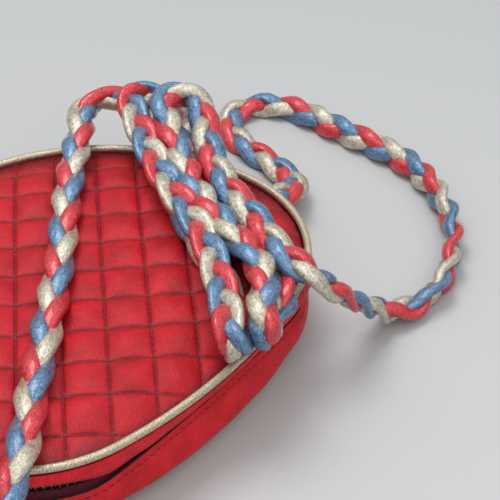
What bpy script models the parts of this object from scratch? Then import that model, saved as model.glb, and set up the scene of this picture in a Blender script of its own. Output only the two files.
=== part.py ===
"""Small zip-top crossbody bag lying on its back, with its braided leather strap wound up on top of it.

The quilted front panel faces up (+Z), the zip edge faces +Y, and the two ends that carry the strap face +X and -X.
The origin is on the table, under the middle of the back panel. All sizes are in metres.
"""

import math
from bisect import bisect_right

import bmesh
import bpy
from mathutils import Vector

# Outline of the panels, seen from above: a flat arc along the zip, round shoulders, a deep round foot
HALF_WIDTH = 0.092
ZIP_RISE = 0.061
FOOT_DROP = 0.095
ZIP_EDGE_RADIUS = 0.200
WIDEST_Y = (FOOT_DROP - ZIP_RISE) / 2
RIM_STEPS = 76

# Clearance between pieces that touch
GAP = 0.0003

# Piping round both panels
PIPING_RADIUS = 0.0017
FRONT_PIPING_Z = 0.038
BACK_PIPING_Z = PIPING_RADIUS + GAP
PIPING_SIDES = 8
# The back panel is a little smaller, and the bag leans towards its zip
BACK_INSET = 0.002
LEAN = 0.005

# Quilted front panel
PANEL_EDGE_Z = 0.0362
PANEL_UNDER_Z = 0.0342
CROWN = 0.0042
CROWN_MARGIN = 0.020
QUILT_WIDTH = 0.023
QUILT_PUFF = 0.0022
QUILT_NODE_X = 0.0123
QUILT_STEPS = 4

# Back panel and lining
BACK_PANEL_TOP = 0.0034
LINING_THICK = 0.0008
LINING_INSET = 0.0095

# Leather of the gusset
LEATHER = 0.0018
ZIP_LINE_OUT = (-0.0012, -0.0048)
ZIP_LINE_Z = (0.0202, 0.0241)
BULGE_OUT = (-0.0006, -0.0016)
BULGE_Z = (0.0125, 0.0125)
UNDER_OUT = (-0.0017, -0.0024)
UNDER_Z = (0.0078, 0.0073)
DIP_HALF_LENGTH = 0.050
FOOT_BULGE = 0.0030
SLIT_LEFT = 0.0063
SLIT_MIDDLE = 0.0009
SLIT_RIGHT = 0.0032
SLIT_OPEN_FROM_END = 0.08865
SLIT_OPEN_LENGTH = 0.050
SEAM_FROM_END = 0.003

# Zip
FRONT_TAPE_WIDTH = 0.0028
BACK_TAPE_REACH = 0.0060
TAPE_THICK = 0.0007
TAPE_DEPTH = 0.0044
TOOTH_THICK = 0.0014
TOOTH_REACH = 0.0026
TOOTH_MESH = 0.0004
TOOTH_PITCH = 0.0027
CHAIN_RISE = 0.0028
ZIP_LEFT_CLEAR = 0.02265
ZIP_RIGHT_CLEAR = 0.01165
STOP_LENGTH = 0.0022

# Slider and its puller
SLIDER_LENGTH = 0.0095
SLIDER_WIDTH = 0.0066
SLIDER_PLATE = 0.0009
SLIDER_FROM_END = 0.03015
CROWN_DROP = 0.0011
CROWN_LENGTH = 0.0066
CROWN_WIDTH = 0.0021
CROWN_RISE = 0.0068
CROWN_WALL = 0.0012
PULLER_LENGTH = 0.0155
PULLER_WIDTH = 0.0068
PULLER_THICK = 0.0012
PULLER_EYE = 0.0046

# Tabs that hold the two ends of the strap
TAB_LENGTH = 0.020
TAB_FOOT_Z = 0.0075
TAB_HEAD_Z = 0.0315
TAB_THICK = 0.0020
TAB_FACE_OUT = 0.00215
SLEEVE_LENGTH = 0.0085
SLEEVE_WIDTH = 0.0150
SLEEVE_HEIGHT = 0.0110
SLEEVE_Z = 0.0195
RIVET_RADIUS = 0.0026
RIVET_RISE = 0.0010
RIVET_REACH = 0.0085

# Strap
STRAP_RADIUS = 0.0041
STRAP_REST_Z = STRAP_RADIUS + GAP / 2
HANK_NEAR = (-0.022, 0.070)
HANK_FAR = (-0.0889, -0.0317)
HANK_HALF_WIDTH = 0.0265
HANK_FOOT_Z = 0.0432
HANK_TOP_Z = 0.0610

# Hand-chosen routes of the strap, from each tab to the wound hank
LEFT_ROUTE = (
    (0.1057, 0.0170, 0.0195), (0.1130, 0.0173, 0.0176), (0.1215, 0.0205, 0.0118), (0.1290, 0.0285, 0.0060),
    (0.1325, 0.0400, 0.0046), (0.1305, 0.0515, 0.0070), (0.1240, 0.0600, 0.0135), (0.1150, 0.0645, 0.0240),
    (0.1055, 0.0655, 0.0350), (0.0970, 0.0642, 0.0423), (0.0880, 0.0600, 0.0464), (0.0716, 0.0503, 0.0475),
    (0.0540, 0.0368, 0.0475), (0.0346, 0.0232, 0.0475), (0.0136, 0.0080, 0.0475), (-0.0091, -0.0096, 0.0475),
    (-0.0398, -0.0344, 0.0475), (-0.0672, -0.0532, 0.0473),
)
RIGHT_ROUTE = (
    (-0.0508, 0.0831, 0.0478), (-0.0560, 0.0851, 0.0410), (-0.0641, 0.0857, 0.0320), (-0.0736, 0.0855, 0.0220),
    (-0.0838, 0.0860, 0.0125), (-0.0927, 0.0884, 0.0066), (-0.0996, 0.0915, 0.0048), (-0.1062, 0.0938, 0.0049),
    (-0.1134, 0.0948, 0.0052), (-0.1208, 0.0937, 0.0054), (-0.1322, 0.0893, 0.0055), (-0.1470, 0.0811, 0.0055),
    (-0.1608, 0.0675, 0.0055), (-0.1703, 0.0525, 0.0054), (-0.1764, 0.0367, 0.0052), (-0.1778, 0.0205, 0.0051),
    (-0.1777, 0.0034, 0.0051), (-0.1783, -0.0119, 0.0051), (-0.1787, -0.0255, 0.0050), (-0.1745, -0.0390, 0.0046),
    (-0.1650, -0.0475, 0.0044), (-0.1525, -0.0450, 0.0043), (-0.1445, -0.0330, 0.0043), (-0.1415, -0.0170, 0.0043),
    (-0.1385, -0.0030, 0.0046), (-0.1330, 0.0075, 0.0070), (-0.1245, 0.0140, 0.0118), (-0.1155, 0.0166, 0.0166),
    (-0.1059, 0.0170, 0.0195),
)


def clear_scene():
    """Empties the file of whatever objects it holds."""
    for old in list(bpy.data.objects):
        bpy.data.objects.remove(old, do_unlink=True)


def material(name, colour, roughness, metallic=0.0):
    """A Principled material of one colour."""
    found = bpy.data.materials.get(name)
    if found:
        return found
    made = bpy.data.materials.new(name)
    made.use_nodes = True
    shader = made.node_tree.nodes["Principled BSDF"]
    shader.inputs["Base Color"].default_value = (*colour, 1.0)
    shader.inputs["Roughness"].default_value = roughness
    shader.inputs["Metallic"].default_value = metallic
    return made


def red_leather(piece):
    return material(piece + "_red_leather", (0.60, 0.025, 0.045), 0.45)


def champagne_leather(piece):
    return material(piece + "_champagne_leather", (0.52, 0.47, 0.36), 0.38, 0.35)


def wine_fabric(piece):
    return material(piece + "_wine_fabric", (0.16, 0.004, 0.03), 0.85)


def pale_brass(piece):
    return material(piece + "_pale_brass", (0.62, 0.52, 0.34), 0.30, 1.0)


def strap_leather(piece):
    return material(piece + "_strap_leather", (0.45, 0.20, 0.24), 0.40, 0.2)


def finish_piece(name, mesh, finish, smooth_angle=40.0):
    """Puts a mesh in the scene as a named piece with its own material."""
    mesh.materials.append(finish(name))
    piece = bpy.data.objects.new(name, mesh)
    bpy.context.scene.collection.objects.link(piece)
    mesh.shade_smooth()
    mesh.set_sharp_from_angle(angle=math.radians(smooth_angle))
    return piece


def mesh_from(name, verts, faces):
    """A mesh with its faces turned outwards."""
    mesh = bpy.data.meshes.new(name)
    mesh.from_pydata(verts, [], faces)
    work = bmesh.new()
    work.from_mesh(mesh)
    bmesh.ops.recalc_face_normals(work, faces=work.faces)
    work.to_mesh(mesh)
    work.free()
    mesh.update()
    return mesh


def outline_dense(steps=360):
    """Half of the outline, from the middle of the zip edge round the +X end to the foot, as points with normals."""
    side_radius = ((2 * ZIP_RISE * ZIP_EDGE_RADIUS - HALF_WIDTH ** 2 - ZIP_RISE ** 2)
                   / (2 * (ZIP_EDGE_RADIUS - HALF_WIDTH)))
    side_x = HALF_WIDTH - side_radius
    zip_centre_y = ZIP_RISE - ZIP_EDGE_RADIUS
    turn = math.atan2(side_x, -zip_centre_y)
    points = []
    for i in range(steps):
        a = turn * i / steps
        points.append((ZIP_EDGE_RADIUS * math.sin(a), zip_centre_y + ZIP_EDGE_RADIUS * math.cos(a),
                       math.sin(a), math.cos(a)))
    for i in range(steps):
        a = turn + (math.pi / 2 - turn) * i / steps
        points.append((side_x + side_radius * math.sin(a), side_radius * math.cos(a), math.sin(a), math.cos(a)))
    for i in range(steps + 1):
        a = math.pi / 2 * i / steps
        nx, ny = FOOT_DROP * math.cos(a), -HALF_WIDTH * math.sin(a)
        size = math.hypot(nx, ny)
        points.append((HALF_WIDTH * math.cos(a), -FOOT_DROP * math.sin(a), nx / size, ny / size))
    return points, side_x, side_radius, turn


HALF_OUTLINE, SIDE_X, SIDE_RADIUS, ZIP_TURN = outline_dense()
RUN = [0.0]
for before, after in zip(HALF_OUTLINE, HALF_OUTLINE[1:]):
    RUN.append(RUN[-1] + math.hypot(after[0] - before[0], after[1] - before[1]))
HALF_RUN = RUN[-1]
ARC_END_S = ZIP_EDGE_RADIUS * ZIP_TURN
END_S = ARC_END_S + SIDE_RADIUS * (math.pi / 2 - ZIP_TURN)


def rim(s):
    """The outline at s metres from the middle of the zip edge, positive towards +X: point and outward normal."""
    side = 1.0 if s >= 0 else -1.0
    s = min(abs(s), HALF_RUN)
    i = min(max(bisect_right(RUN, s) - 1, 0), len(RUN) - 2)
    t = (s - RUN[i]) / (RUN[i + 1] - RUN[i])
    a, b = HALF_OUTLINE[i], HALF_OUTLINE[i + 1]
    x, y, nx, ny = (a[k] + (b[k] - a[k]) * t for k in range(4))
    size = math.hypot(nx, ny)
    return Vector((side * x, y + WIDEST_Y)), Vector((side * nx / size, ny / size))


def place(s, out, z):
    """A point at s along the rim, out from the outline, at height z."""
    point, normal = rim(s)
    return Vector((point.x + normal.x * out, point.y + normal.y * out, z))


def smooth(t):
    t = min(max(t, 0.0), 1.0)
    return t * t * (3 - 2 * t)


def dip(s):
    """0 round the shoulders, 1 at the middle of the zip edge, where the soft gusset sinks in."""
    return smooth(1 - abs(rim(s)[0].x) / DIP_HALF_LENGTH) if abs(s) < END_S else 0.0


def between(pair, t):
    return pair[0] + (pair[1] - pair[0]) * t


def slit_width(s):
    """How far the two lips of the zip stand apart."""
    left = smooth((s - END_S + SLIT_OPEN_FROM_END) / SLIT_OPEN_LENGTH)
    right = smooth((-s - 0.040) / 0.030)
    return SLIT_MIDDLE + (SLIT_LEFT - SLIT_MIDDLE) * left + (SLIT_RIGHT - SLIT_MIDDLE) * right


def back_out(s):
    """How far the back piping lies from the outline: inset, and shifted away from the zip by the lean."""
    return -BACK_INSET - LEAN * rim(s)[1].y


def lower_lip(s):
    """Edge of the back zip gusset, as distance out and height."""
    sink = dip(s)
    return Vector((between(ZIP_LINE_OUT, sink), between(ZIP_LINE_Z, sink)))


def gusset_top(_s):
    """Where the gusset leather meets the front piping."""
    return Vector((LEATHER / 2 + 0.0002, FRONT_PIPING_Z - PIPING_RADIUS - GAP))


def down_the_wall(s):
    """Unit step from the front piping towards the zip, in the plane across the rim."""
    return (lower_lip(s) - gusset_top(s)).normalized()


def upper_lip(s):
    return lower_lip(s) - down_the_wall(s) * slit_width(s)


def wall_normal(s):
    step = down_the_wall(s)
    return Vector((-step.y, step.x))


def chain_centre(s, depth):
    """Middle of the zip chain, at a depth under the leather."""
    return lower_lip(s) - down_the_wall(s) * CHAIN_RISE - wall_normal(s) * depth


def loft(name, stations, ring_at, finish, closed=False, smooth_angle=40.0):
    """A solid whose section, a ring of (out, z) points, is carried along the rim through the stations."""
    rings = [[place(s, *p) for p in ring_at(s)] for s in stations]
    count = len(rings[0])
    verts = [v for ring in rings for v in ring]
    faces = []
    for k in range(len(rings) if closed else len(rings) - 1):
        a, b = k * count, (k + 1) % len(rings) * count
        for i in range(count):
            j = (i + 1) % count
            faces.append((a + i, a + j, b + j, b + i))
    if not closed:
        faces.append(tuple(range(count)))
        faces.append(tuple(range(len(verts) - count, len(verts))))
    return finish_piece(name, mesh_from(name, verts, faces), finish, smooth_angle)


def spread(start, end, count):
    return [start + (end - start) * i / (count - 1) for i in range(count)]


def round_stations():
    """Stations once round the whole rim."""
    return [-HALF_RUN + 2 * HALF_RUN * i / RIM_STEPS for i in range(RIM_STEPS)]


def circle_ring(centre, radius, sides):
    return [(centre[0] + radius * math.cos(2 * math.pi * i / sides), centre[1] + radius * math.sin(2 * math.pi * i / sides))
            for i in range(sides)]


def curve_through(points, steps):
    """A smooth run through section points, by Catmull and Rom's rule."""
    ends = [2 * points[0] - points[1]] + list(points) + [2 * points[-1] - points[-2]]
    run = []
    for k in range(1, len(ends) - 2):
        p0, p1, p2, p3 = ends[k - 1:k + 3]
        for i in range(steps):
            t = i / steps
            run.append(0.5 * (2 * p1 + (p2 - p0) * t + (2 * p0 - 5 * p1 + 4 * p2 - p3) * t * t
                              + (3 * p1 - p0 - 3 * p2 + p3) * t ** 3))
    run.append(points[-1])
    return run


def leather_ring(outer_run, thickness, top_slack=0.0):
    """A closed section: the outer run of a strip, and the same run set in by the leather's thickness."""
    inner = []
    ceiling = max(p.y for p in outer_run) + max(top_slack, 0.0)
    floor = min(p.y for p in outer_run)
    for i, p in enumerate(outer_run):
        step = outer_run[min(i + 1, len(outer_run) - 1)] - outer_run[max(i - 1, 0)]
        inward = Vector((step.y, -step.x)).normalized()
        q = p + inward * thickness
        inner.append(Vector((q.x, min(max(q.y, floor), ceiling))))
    return [tuple(p) for p in outer_run] + [tuple(p) for p in reversed(inner)]


def make_pipings():
    loft("front_piping", round_stations(), lambda s: circle_ring((0.0, FRONT_PIPING_Z), PIPING_RADIUS, PIPING_SIDES),
         champagne_leather, closed=True, smooth_angle=60)
    loft("back_piping", round_stations(), lambda s: circle_ring((back_out(s), BACK_PIPING_Z), PIPING_RADIUS, PIPING_SIDES),
         champagne_leather, closed=True, smooth_angle=60)


def front_zip_gusset_ring(s):
    top, lip = gusset_top(s), upper_lip(s)
    middle = (top + lip) / 2 + wall_normal(s) * 0.0006
    return leather_ring(curve_through([top, middle, lip], 2), LEATHER)


def back_zip_gusset_ring(s):
    sink = dip(s)
    lip = lower_lip(s)
    bulge = Vector((between(BULGE_OUT, sink), between(BULGE_Z, sink)))
    under = Vector((between(UNDER_OUT, sink), between(UNDER_Z, sink)))
    foot = Vector((back_out(s) + 0.0008, 2 * PIPING_RADIUS + 2 * GAP))
    return leather_ring(curve_through([lip, bulge, under, foot], 2), LEATHER, top_slack=0.001)


def foot_gusset_ring(s):
    """One strip from piping to piping round the foot of the bag, bulging at mid height."""
    top = gusset_top(s)
    foot = Vector((back_out(s) + 0.0008, 2 * PIPING_RADIUS + 2 * GAP))
    past = smooth((abs(s) - END_S) / 0.030)
    upper = top.lerp(foot, 0.30) + Vector((FOOT_BULGE * (0.25 + 0.75 * past), 0))
    lower = top.lerp(foot, 0.70) + Vector((FOOT_BULGE * (0.25 + 0.75 * past), 0))
    return leather_ring(curve_through([top, upper, lower, foot], 2), LEATHER)


def make_gussets():
    seam = END_S - SEAM_FROM_END
    along_zip = spread(-seam, seam, 53)
    loft("front_zip_gusset", along_zip, front_zip_gusset_ring, red_leather, smooth_angle=50)
    loft("back_zip_gusset", along_zip, back_zip_gusset_ring, red_leather, smooth_angle=50)
    start = seam + GAP
    along_foot = spread(start, 2 * HALF_RUN - start, 53)
    wrapped = [s if s <= HALF_RUN else s - 2 * HALF_RUN for s in along_foot]
    loft("foot_gusset", wrapped, foot_gusset_ring, red_leather, smooth_angle=50)


def tape_section(near, far):
    """Section of a tape from the edge beside the teeth to the edge under the leather."""
    across = (far - near).normalized()
    half = Vector((-across.y, across.x)) * TAPE_THICK / 2
    return [tuple(near + half), tuple(far + half), tuple(far - half), tuple(near - half)]


def front_tape_ring(s):
    step = down_the_wall(s)
    near = chain_centre(s, TAPE_DEPTH) - step * (TOOTH_REACH + GAP)
    far = (lower_lip(s) - step * (CHAIN_RISE + TOOTH_REACH + GAP + FRONT_TAPE_WIDTH)
           - wall_normal(s) * (LEATHER + GAP + TAPE_THICK / 2))
    return tape_section(near, far)


def back_tape_ring(s):
    sink = dip(s)
    lip = lower_lip(s)
    step = (Vector((between(BULGE_OUT, sink), between(BULGE_Z, sink))) - lip).normalized()
    near = chain_centre(s, TAPE_DEPTH) + down_the_wall(s) * (TOOTH_REACH + GAP)
    far = lip + step * BACK_TAPE_REACH - Vector((-step.y, step.x)) * (LEATHER + GAP + TAPE_THICK / 2)
    return tape_section(near, far)


def chain_stations():
    """Stations along the closed chain with the reach of the metal to each side: the teeth mesh in turn."""
    start, end = ZIP_RIGHT_CLEAR - END_S, END_S - ZIP_LEFT_CLEAR - STOP_LENGTH
    count = int((end - start) / (TOOTH_PITCH / 2))
    slope = TOOTH_PITCH / 2 * 0.24
    marks = []
    for k in range(count):
        reach = (TOOTH_REACH, TOOTH_MESH) if k % 2 else (TOOTH_MESH, TOOTH_REACH)
        first = start + k * TOOTH_PITCH / 2
        marks.append((first + slope / 2, reach))
        marks.append((first + TOOTH_PITCH / 2 - slope / 2, reach))
    return marks


def make_zip():
    seam = END_S - SEAM_FROM_END - 0.004
    along = spread(-seam, seam, 37)
    loft("front_zip_tape", along, front_tape_ring, wine_fabric)
    loft("back_zip_tape", along, back_tape_ring, wine_fabric)

    marks = chain_stations()
    reaches = dict(marks)

    def chain_ring(s):
        front, back = reaches[s]
        step, out = down_the_wall(s), wall_normal(s) * TOOTH_THICK / 2
        middle = chain_centre(s, TAPE_DEPTH)
        corners = (middle - step * front + out, middle + step * back + out,
                   middle + step * back - out, middle - step * front - out)
        return [tuple(p) for p in corners]

    loft("zip_teeth", [s for s, _ in marks], chain_ring, pale_brass, smooth_angle=20)

    def stop_ring(s):
        step, out = down_the_wall(s), wall_normal(s) * TOOTH_THICK / 2
        middle = chain_centre(s, TAPE_DEPTH)
        reach = TOOTH_REACH * 0.9
        return [tuple(middle - step * reach + out), tuple(middle + step * reach + out),
                tuple(middle + step * reach - out), tuple(middle - step * reach - out)]

    end = marks[-1][0] + GAP
    loft("zip_top_stop", spread(end, end + STOP_LENGTH, 3), stop_ring, pale_brass)
    start = marks[0][0] - GAP
    loft("zip_bottom_stop", spread(start - STOP_LENGTH, start, 3), stop_ring, pale_brass)

    def patch_ring(s):
        step, out = down_the_wall(s), wall_normal(s) * TAPE_THICK / 2
        middle = chain_centre(s, TAPE_DEPTH)
        return [tuple(middle - step * TOOTH_REACH + out), tuple(middle + step * TOOTH_REACH + out),
                tuple(middle + step * TOOTH_REACH - out), tuple(middle - step * TOOTH_REACH - out)]

    loft("zip_end_patch", spread(end + STOP_LENGTH + GAP, seam, 7), patch_ring, wine_fabric)


def inside_outline(point):
    """Distance of a point from the centre of the outline, as a share of the rim's, for the crown of the panel."""
    y = point[1] - WIDEST_Y
    drop = ZIP_RISE if y > 0 else FOOT_DROP
    power = 2.5 if y > 0 else 2.0
    return (abs(point[0] / HALF_WIDTH) ** power + abs(y / drop) ** power) ** (1 / power)


def quilt_height(x, y):
    """Height of the quilted face: a low crown, with puffs between two families of diagonal channels."""
    depth_in = (1 - inside_outline((x, y))) * ZIP_RISE
    crown = CROWN * smooth(depth_in / CROWN_MARGIN)
    zip_y = WIDEST_Y + ZIP_RISE
    p = (x - QUILT_NODE_X + (y - zip_y)) / QUILT_WIDTH
    q = (x - QUILT_NODE_X - (y - zip_y)) / QUILT_WIDTH
    puff = abs(math.sin(math.pi * p) * math.sin(math.pi * q)) ** 0.5
    return PANEL_EDGE_Z + crown + QUILT_PUFF * puff * (0.35 + 0.65 * smooth(depth_in / 0.010))


def make_front_panel():
    """A slab whose grid runs along the quilting channels, trimmed to the outline inside the piping."""
    cell = QUILT_WIDTH / 2 / QUILT_STEPS
    zip_y = WIDEST_Y + ZIP_RISE
    reach = int((HALF_WIDTH + FOOT_DROP + ZIP_RISE) / cell) + 2
    verts, index, faces = [], {}, []

    def corner(i, j):
        if (i, j) not in index:
            x = QUILT_NODE_X + (i + j) * cell
            y = zip_y + (i - j) * cell
            index[i, j] = len(verts)
            verts.append(Vector((x, y, quilt_height(x, y))))
        return index[i, j]

    cells = set()
    for i in range(-reach, reach):
        for j in range(-reach, reach):
            x = QUILT_NODE_X + (i + j + 1) * cell
            y = zip_y + (i - j) * cell
            if inside_outline((x, y)) < 1.16:
                cells.add((i, j))
    for i, j in cells:
        faces.append((corner(i, j), corner(i + 1, j), corner(i + 1, j + 1), corner(i, j + 1)))
    slab = bmesh.new()
    made = [slab.verts.new(v) for v in verts]
    for face in sorted(faces):
        slab.faces.new([made[k] for k in face])
    down = bmesh.ops.extrude_face_region(slab, geom=slab.faces[:])
    for item in down["geom"]:
        if isinstance(item, bmesh.types.BMVert):
            item.co.z = PANEL_UNDER_Z
    bmesh.ops.dissolve_limit(slab, angle_limit=math.radians(0.5), verts=slab.verts[:], edges=slab.edges[:])
    bmesh.ops.recalc_face_normals(slab, faces=slab.faces)
    mesh = bpy.data.meshes.new("front_panel")
    slab.to_mesh(mesh)
    slab.free()
    panel = finish_piece("front_panel", mesh, red_leather, 60)

    edge = PIPING_RADIUS + GAP
    ring = [place(s, -edge, 0.0) for s in round_stations()]
    count = len(ring)
    low, high = PANEL_UNDER_Z - 0.004, FRONT_PIPING_Z + 0.020
    verts = [(v.x, v.y, low) for v in ring] + [(v.x, v.y, high) for v in ring]
    faces = [(i, (i + 1) % count, (i + 1) % count + count, i + count) for i in range(count)]
    faces += [tuple(range(count)), tuple(range(count, 2 * count))]
    cutter = bpy.data.objects.new("front_panel_trim", mesh_from("front_panel_trim", verts, faces))
    bpy.context.scene.collection.objects.link(cutter)
    cutter.hide_render = True
    cutter.display_type = 'WIRE'
    trim = panel.modifiers.new("trim", 'BOOLEAN')
    trim.operation = 'INTERSECT'
    trim.solver = 'EXACT'
    trim.object = cutter


def slab_inside(name, out_at, low, high, finish):
    """A flat slab filling the outline up to a given distance from it, with softly rounded lower edges."""
    stations = round_stations()
    rings = [[place(s, out_at(s) - 0.0012, low) for s in stations],
             [place(s, out_at(s), (low + high) / 2) for s in stations],
             [place(s, out_at(s) - 0.0004, high) for s in stations]]
    count = len(stations)
    verts = [v for ring in rings for v in ring]
    faces = [tuple(range(count)), tuple(range(2 * count, 3 * count))]
    for k in range(2):
        for i in range(count):
            j = (i + 1) % count
            faces.append((k * count + i, k * count + j, (k + 1) * count + j, (k + 1) * count + i))
    return finish_piece(name, mesh_from(name, verts, faces), finish, 50)


def make_back_and_lining():
    slab_inside("back_panel", lambda s: back_out(s) - PIPING_RADIUS - GAP, 0.0, BACK_PANEL_TOP, red_leather)
    slab_inside("back_lining", lambda s: back_out(s) - LINING_INSET, BACK_PANEL_TOP + GAP,
                BACK_PANEL_TOP + GAP + LINING_THICK, wine_fabric)
    slab_inside("front_lining", lambda s: -LINING_INSET, PANEL_UNDER_Z - GAP - LINING_THICK,
                PANEL_UNDER_Z - GAP, wine_fabric)


def box_verts(origin, axes, spans):
    """Corners of a box given by an origin, three unit axes and a (low, high) span along each."""
    return [origin + axes[0] * a + axes[1] * b + axes[2] * c
            for a in spans[0] for b in spans[1] for c in spans[2]]


def add_box(work, origin, axes, spans):
    corners = [work.verts.new(v) for v in box_verts(origin, axes, spans)]
    for quad in ((0, 1, 3, 2), (4, 6, 7, 5), (0, 4, 5, 1), (2, 3, 7, 6), (0, 2, 6, 4), (1, 5, 7, 3)):
        work.faces.new([corners[k] for k in quad])
    return corners


def slider_frame():
    """Origin on the chain under the slider, and its axes: along the chain, down the wall, outwards."""
    s = END_S - SLIDER_FROM_END
    point, normal = rim(s)
    middle = chain_centre(s, 0.0)
    origin = place(s, middle.x, middle.y)
    out2, step2 = wall_normal(s), down_the_wall(s)
    out = Vector((normal.x * out2.x, normal.y * out2.x, out2.y))
    down = Vector((normal.x * step2.x, normal.y * step2.x, step2.y))
    along = down.cross(out)
    return origin, along.normalized(), down.normalized(), out.normalized()


def slider_depths():
    """Under and upper face of the slider's plate, as heights over the lips' surface."""
    under = -TAPE_DEPTH + TOOTH_THICK / 2 + GAP
    return under, under + SLIDER_PLATE


def make_slider():
    """Plate over the teeth with a bowed crown that stands out through the slit and holds the puller."""
    origin, along, down, out = slider_frame()
    low, high = slider_depths()
    work = bmesh.new()
    half, wide = SLIDER_LENGTH / 2, SLIDER_WIDTH / 2
    outline = [(-half, -wide * 0.62), (-half * 0.4, -wide), (half * 0.5, -wide), (half, -wide * 0.8),
               (half, wide * 0.8), (half * 0.5, wide), (-half * 0.4, wide), (-half, wide * 0.62)]
    rings = []
    for z in (low, high):
        rings.append([work.verts.new(origin + along * a + down * b + out * z) for a, b in outline])
    count = len(outline)
    for i in range(count):
        j = (i + 1) % count
        work.faces.new((rings[0][i], rings[0][j], rings[1][j], rings[1][i]))
    work.faces.new(rings[0])
    work.faces.new(rings[1])
    bmesh.ops.recalc_face_normals(work, faces=work.faces)
    mesh = bpy.data.meshes.new("zip_slider")
    work.to_mesh(mesh)
    work.free()
    slider = finish_piece("zip_slider", mesh, pale_brass, 30)

    crown = bmesh.new()
    base = high - 0.0004
    top = base + CROWN_RISE
    length = CROWN_LENGTH / 2
    arch = [(-length, base), (-length, top - 0.0016), (-length + 0.0014, top), (length - 0.0014, top),
            (length, top - 0.0016), (length, base)]
    inner = length - CROWN_WALL
    hollow = [(inner, base), (inner, top - 0.0022), (inner - 0.0008, top - CROWN_WALL),
              (-inner + 0.0008, top - CROWN_WALL), (-inner, top - 0.0022), (-inner, base)]
    section = arch + hollow
    sides = []
    for b in (-CROWN_WIDTH / 2, CROWN_WIDTH / 2):
        sides.append([crown.verts.new(origin + along * a + down * (b + CROWN_DROP) + out * z) for a, z in section])
    n = len(section)
    for i in range(n):
        j = (i + 1) % n
        crown.faces.new((sides[0][i], sides[0][j], sides[1][j], sides[1][i]))
    half_n = n // 2
    for side in sides:
        for i in range(half_n - 1):
            crown.faces.new((side[i], side[i + 1], side[n - 2 - i], side[n - 1 - i]))
    bmesh.ops.recalc_face_normals(crown, faces=crown.faces)
    crown_mesh = bpy.data.meshes.new("zip_slider_crown")
    crown.to_mesh(crown_mesh)
    crown.free()
    join_by_union(slider, crown_mesh)
    return slider


def join_by_union(piece, mesh):
    """Adds a closed mesh to a piece by a Boolean union, with the added mesh kept as a hidden guide."""
    guide = bpy.data.objects.new(mesh.name + "_guide", mesh)
    bpy.context.scene.collection.objects.link(guide)
    guide.hide_render = True
    guide.display_type = 'WIRE'
    union = piece.modifiers.new("union", 'BOOLEAN')
    union.operation = 'UNION'
    union.solver = 'EXACT'
    union.object = guide


def puller_pivot():
    """Point on the puller's axis, inside the slider's crown, and the slider's axes."""
    origin, along, down, out = slider_frame()
    low, high = slider_depths()
    top = high - 0.0004 + CROWN_RISE
    return origin + down * CROWN_DROP + out * (top - CROWN_WALL - GAP - PULLER_THICK / 2), along, down, out


def make_puller():
    """Flat metal puller with an eye round the crown; it lies along the gusset, away from the tab."""
    pivot, along, down, out = puller_pivot()
    half, wide, eye = PULLER_LENGTH, PULLER_WIDTH / 2, PULLER_EYE / 2
    window_long, window_wide = CROWN_LENGTH / 2 - CROWN_WALL, CROWN_WIDTH / 2 + GAP
    bar = window_long - 0.0012
    back = -bar / 2 - 0.0001
    outer = [(back, -wide * 0.72), (back + 0.0040, -wide * 0.72), (half - 0.0060, -wide), (half - 0.0020, -wide),
             (half, -wide * 0.55), (half, wide * 0.55), (half - 0.0020, wide), (half - 0.0060, wide),
             (back + 0.0040, wide * 0.72), (back, wide * 0.72)]
    work = bmesh.new()
    rings = []
    for z in (-PULLER_THICK / 2, PULLER_THICK / 2):
        rings.append([work.verts.new(pivot + along * a + down * b + out * z) for a, b in outer])
    count = len(outer)
    for i in range(count):
        j = (i + 1) % count
        work.faces.new((rings[0][i], rings[0][j], rings[1][j], rings[1][i]))
    work.faces.new(rings[0])
    work.faces.new(rings[1])
    bmesh.ops.recalc_face_normals(work, faces=work.faces)
    mesh = bpy.data.meshes.new("zip_puller")
    work.to_mesh(mesh)
    work.free()
    puller = finish_piece("zip_puller", mesh, pale_brass, 30)

    hole = bmesh.new()
    spans = ((back + bar, back + bar + eye + 0.0022), (-window_wide - 0.0002, window_wide + 0.0002),
             (-PULLER_THICK, PULLER_THICK))
    add_box(hole, pivot, (along, down, out), spans)
    bmesh.ops.recalc_face_normals(hole, faces=hole.faces)
    hole_mesh = bpy.data.meshes.new("zip_puller_eye")
    hole.to_mesh(hole_mesh)
    hole.free()
    cutter = bpy.data.objects.new("zip_puller_eye", hole_mesh)
    bpy.context.scene.collection.objects.link(cutter)
    cutter.hide_render = True
    cutter.display_type = 'WIRE'
    cut = puller.modifiers.new("eye", 'BOOLEAN')
    cut.operation = 'DIFFERENCE'
    cut.solver = 'EXACT'
    cut.object = cutter
    return puller


def tab_ring(s):
    """Section of a tab: a leather plate that follows the gusset from near the back to near the front."""
    face = TAB_FACE_OUT
    outer = face + TAB_THICK
    return [(face, TAB_HEAD_Z), (outer - 0.0004, TAB_HEAD_Z), (outer, TAB_HEAD_Z - 0.0008),
            (outer, TAB_FOOT_Z + 0.0008), (outer - 0.0004, TAB_FOOT_Z), (face, TAB_FOOT_Z)]


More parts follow.
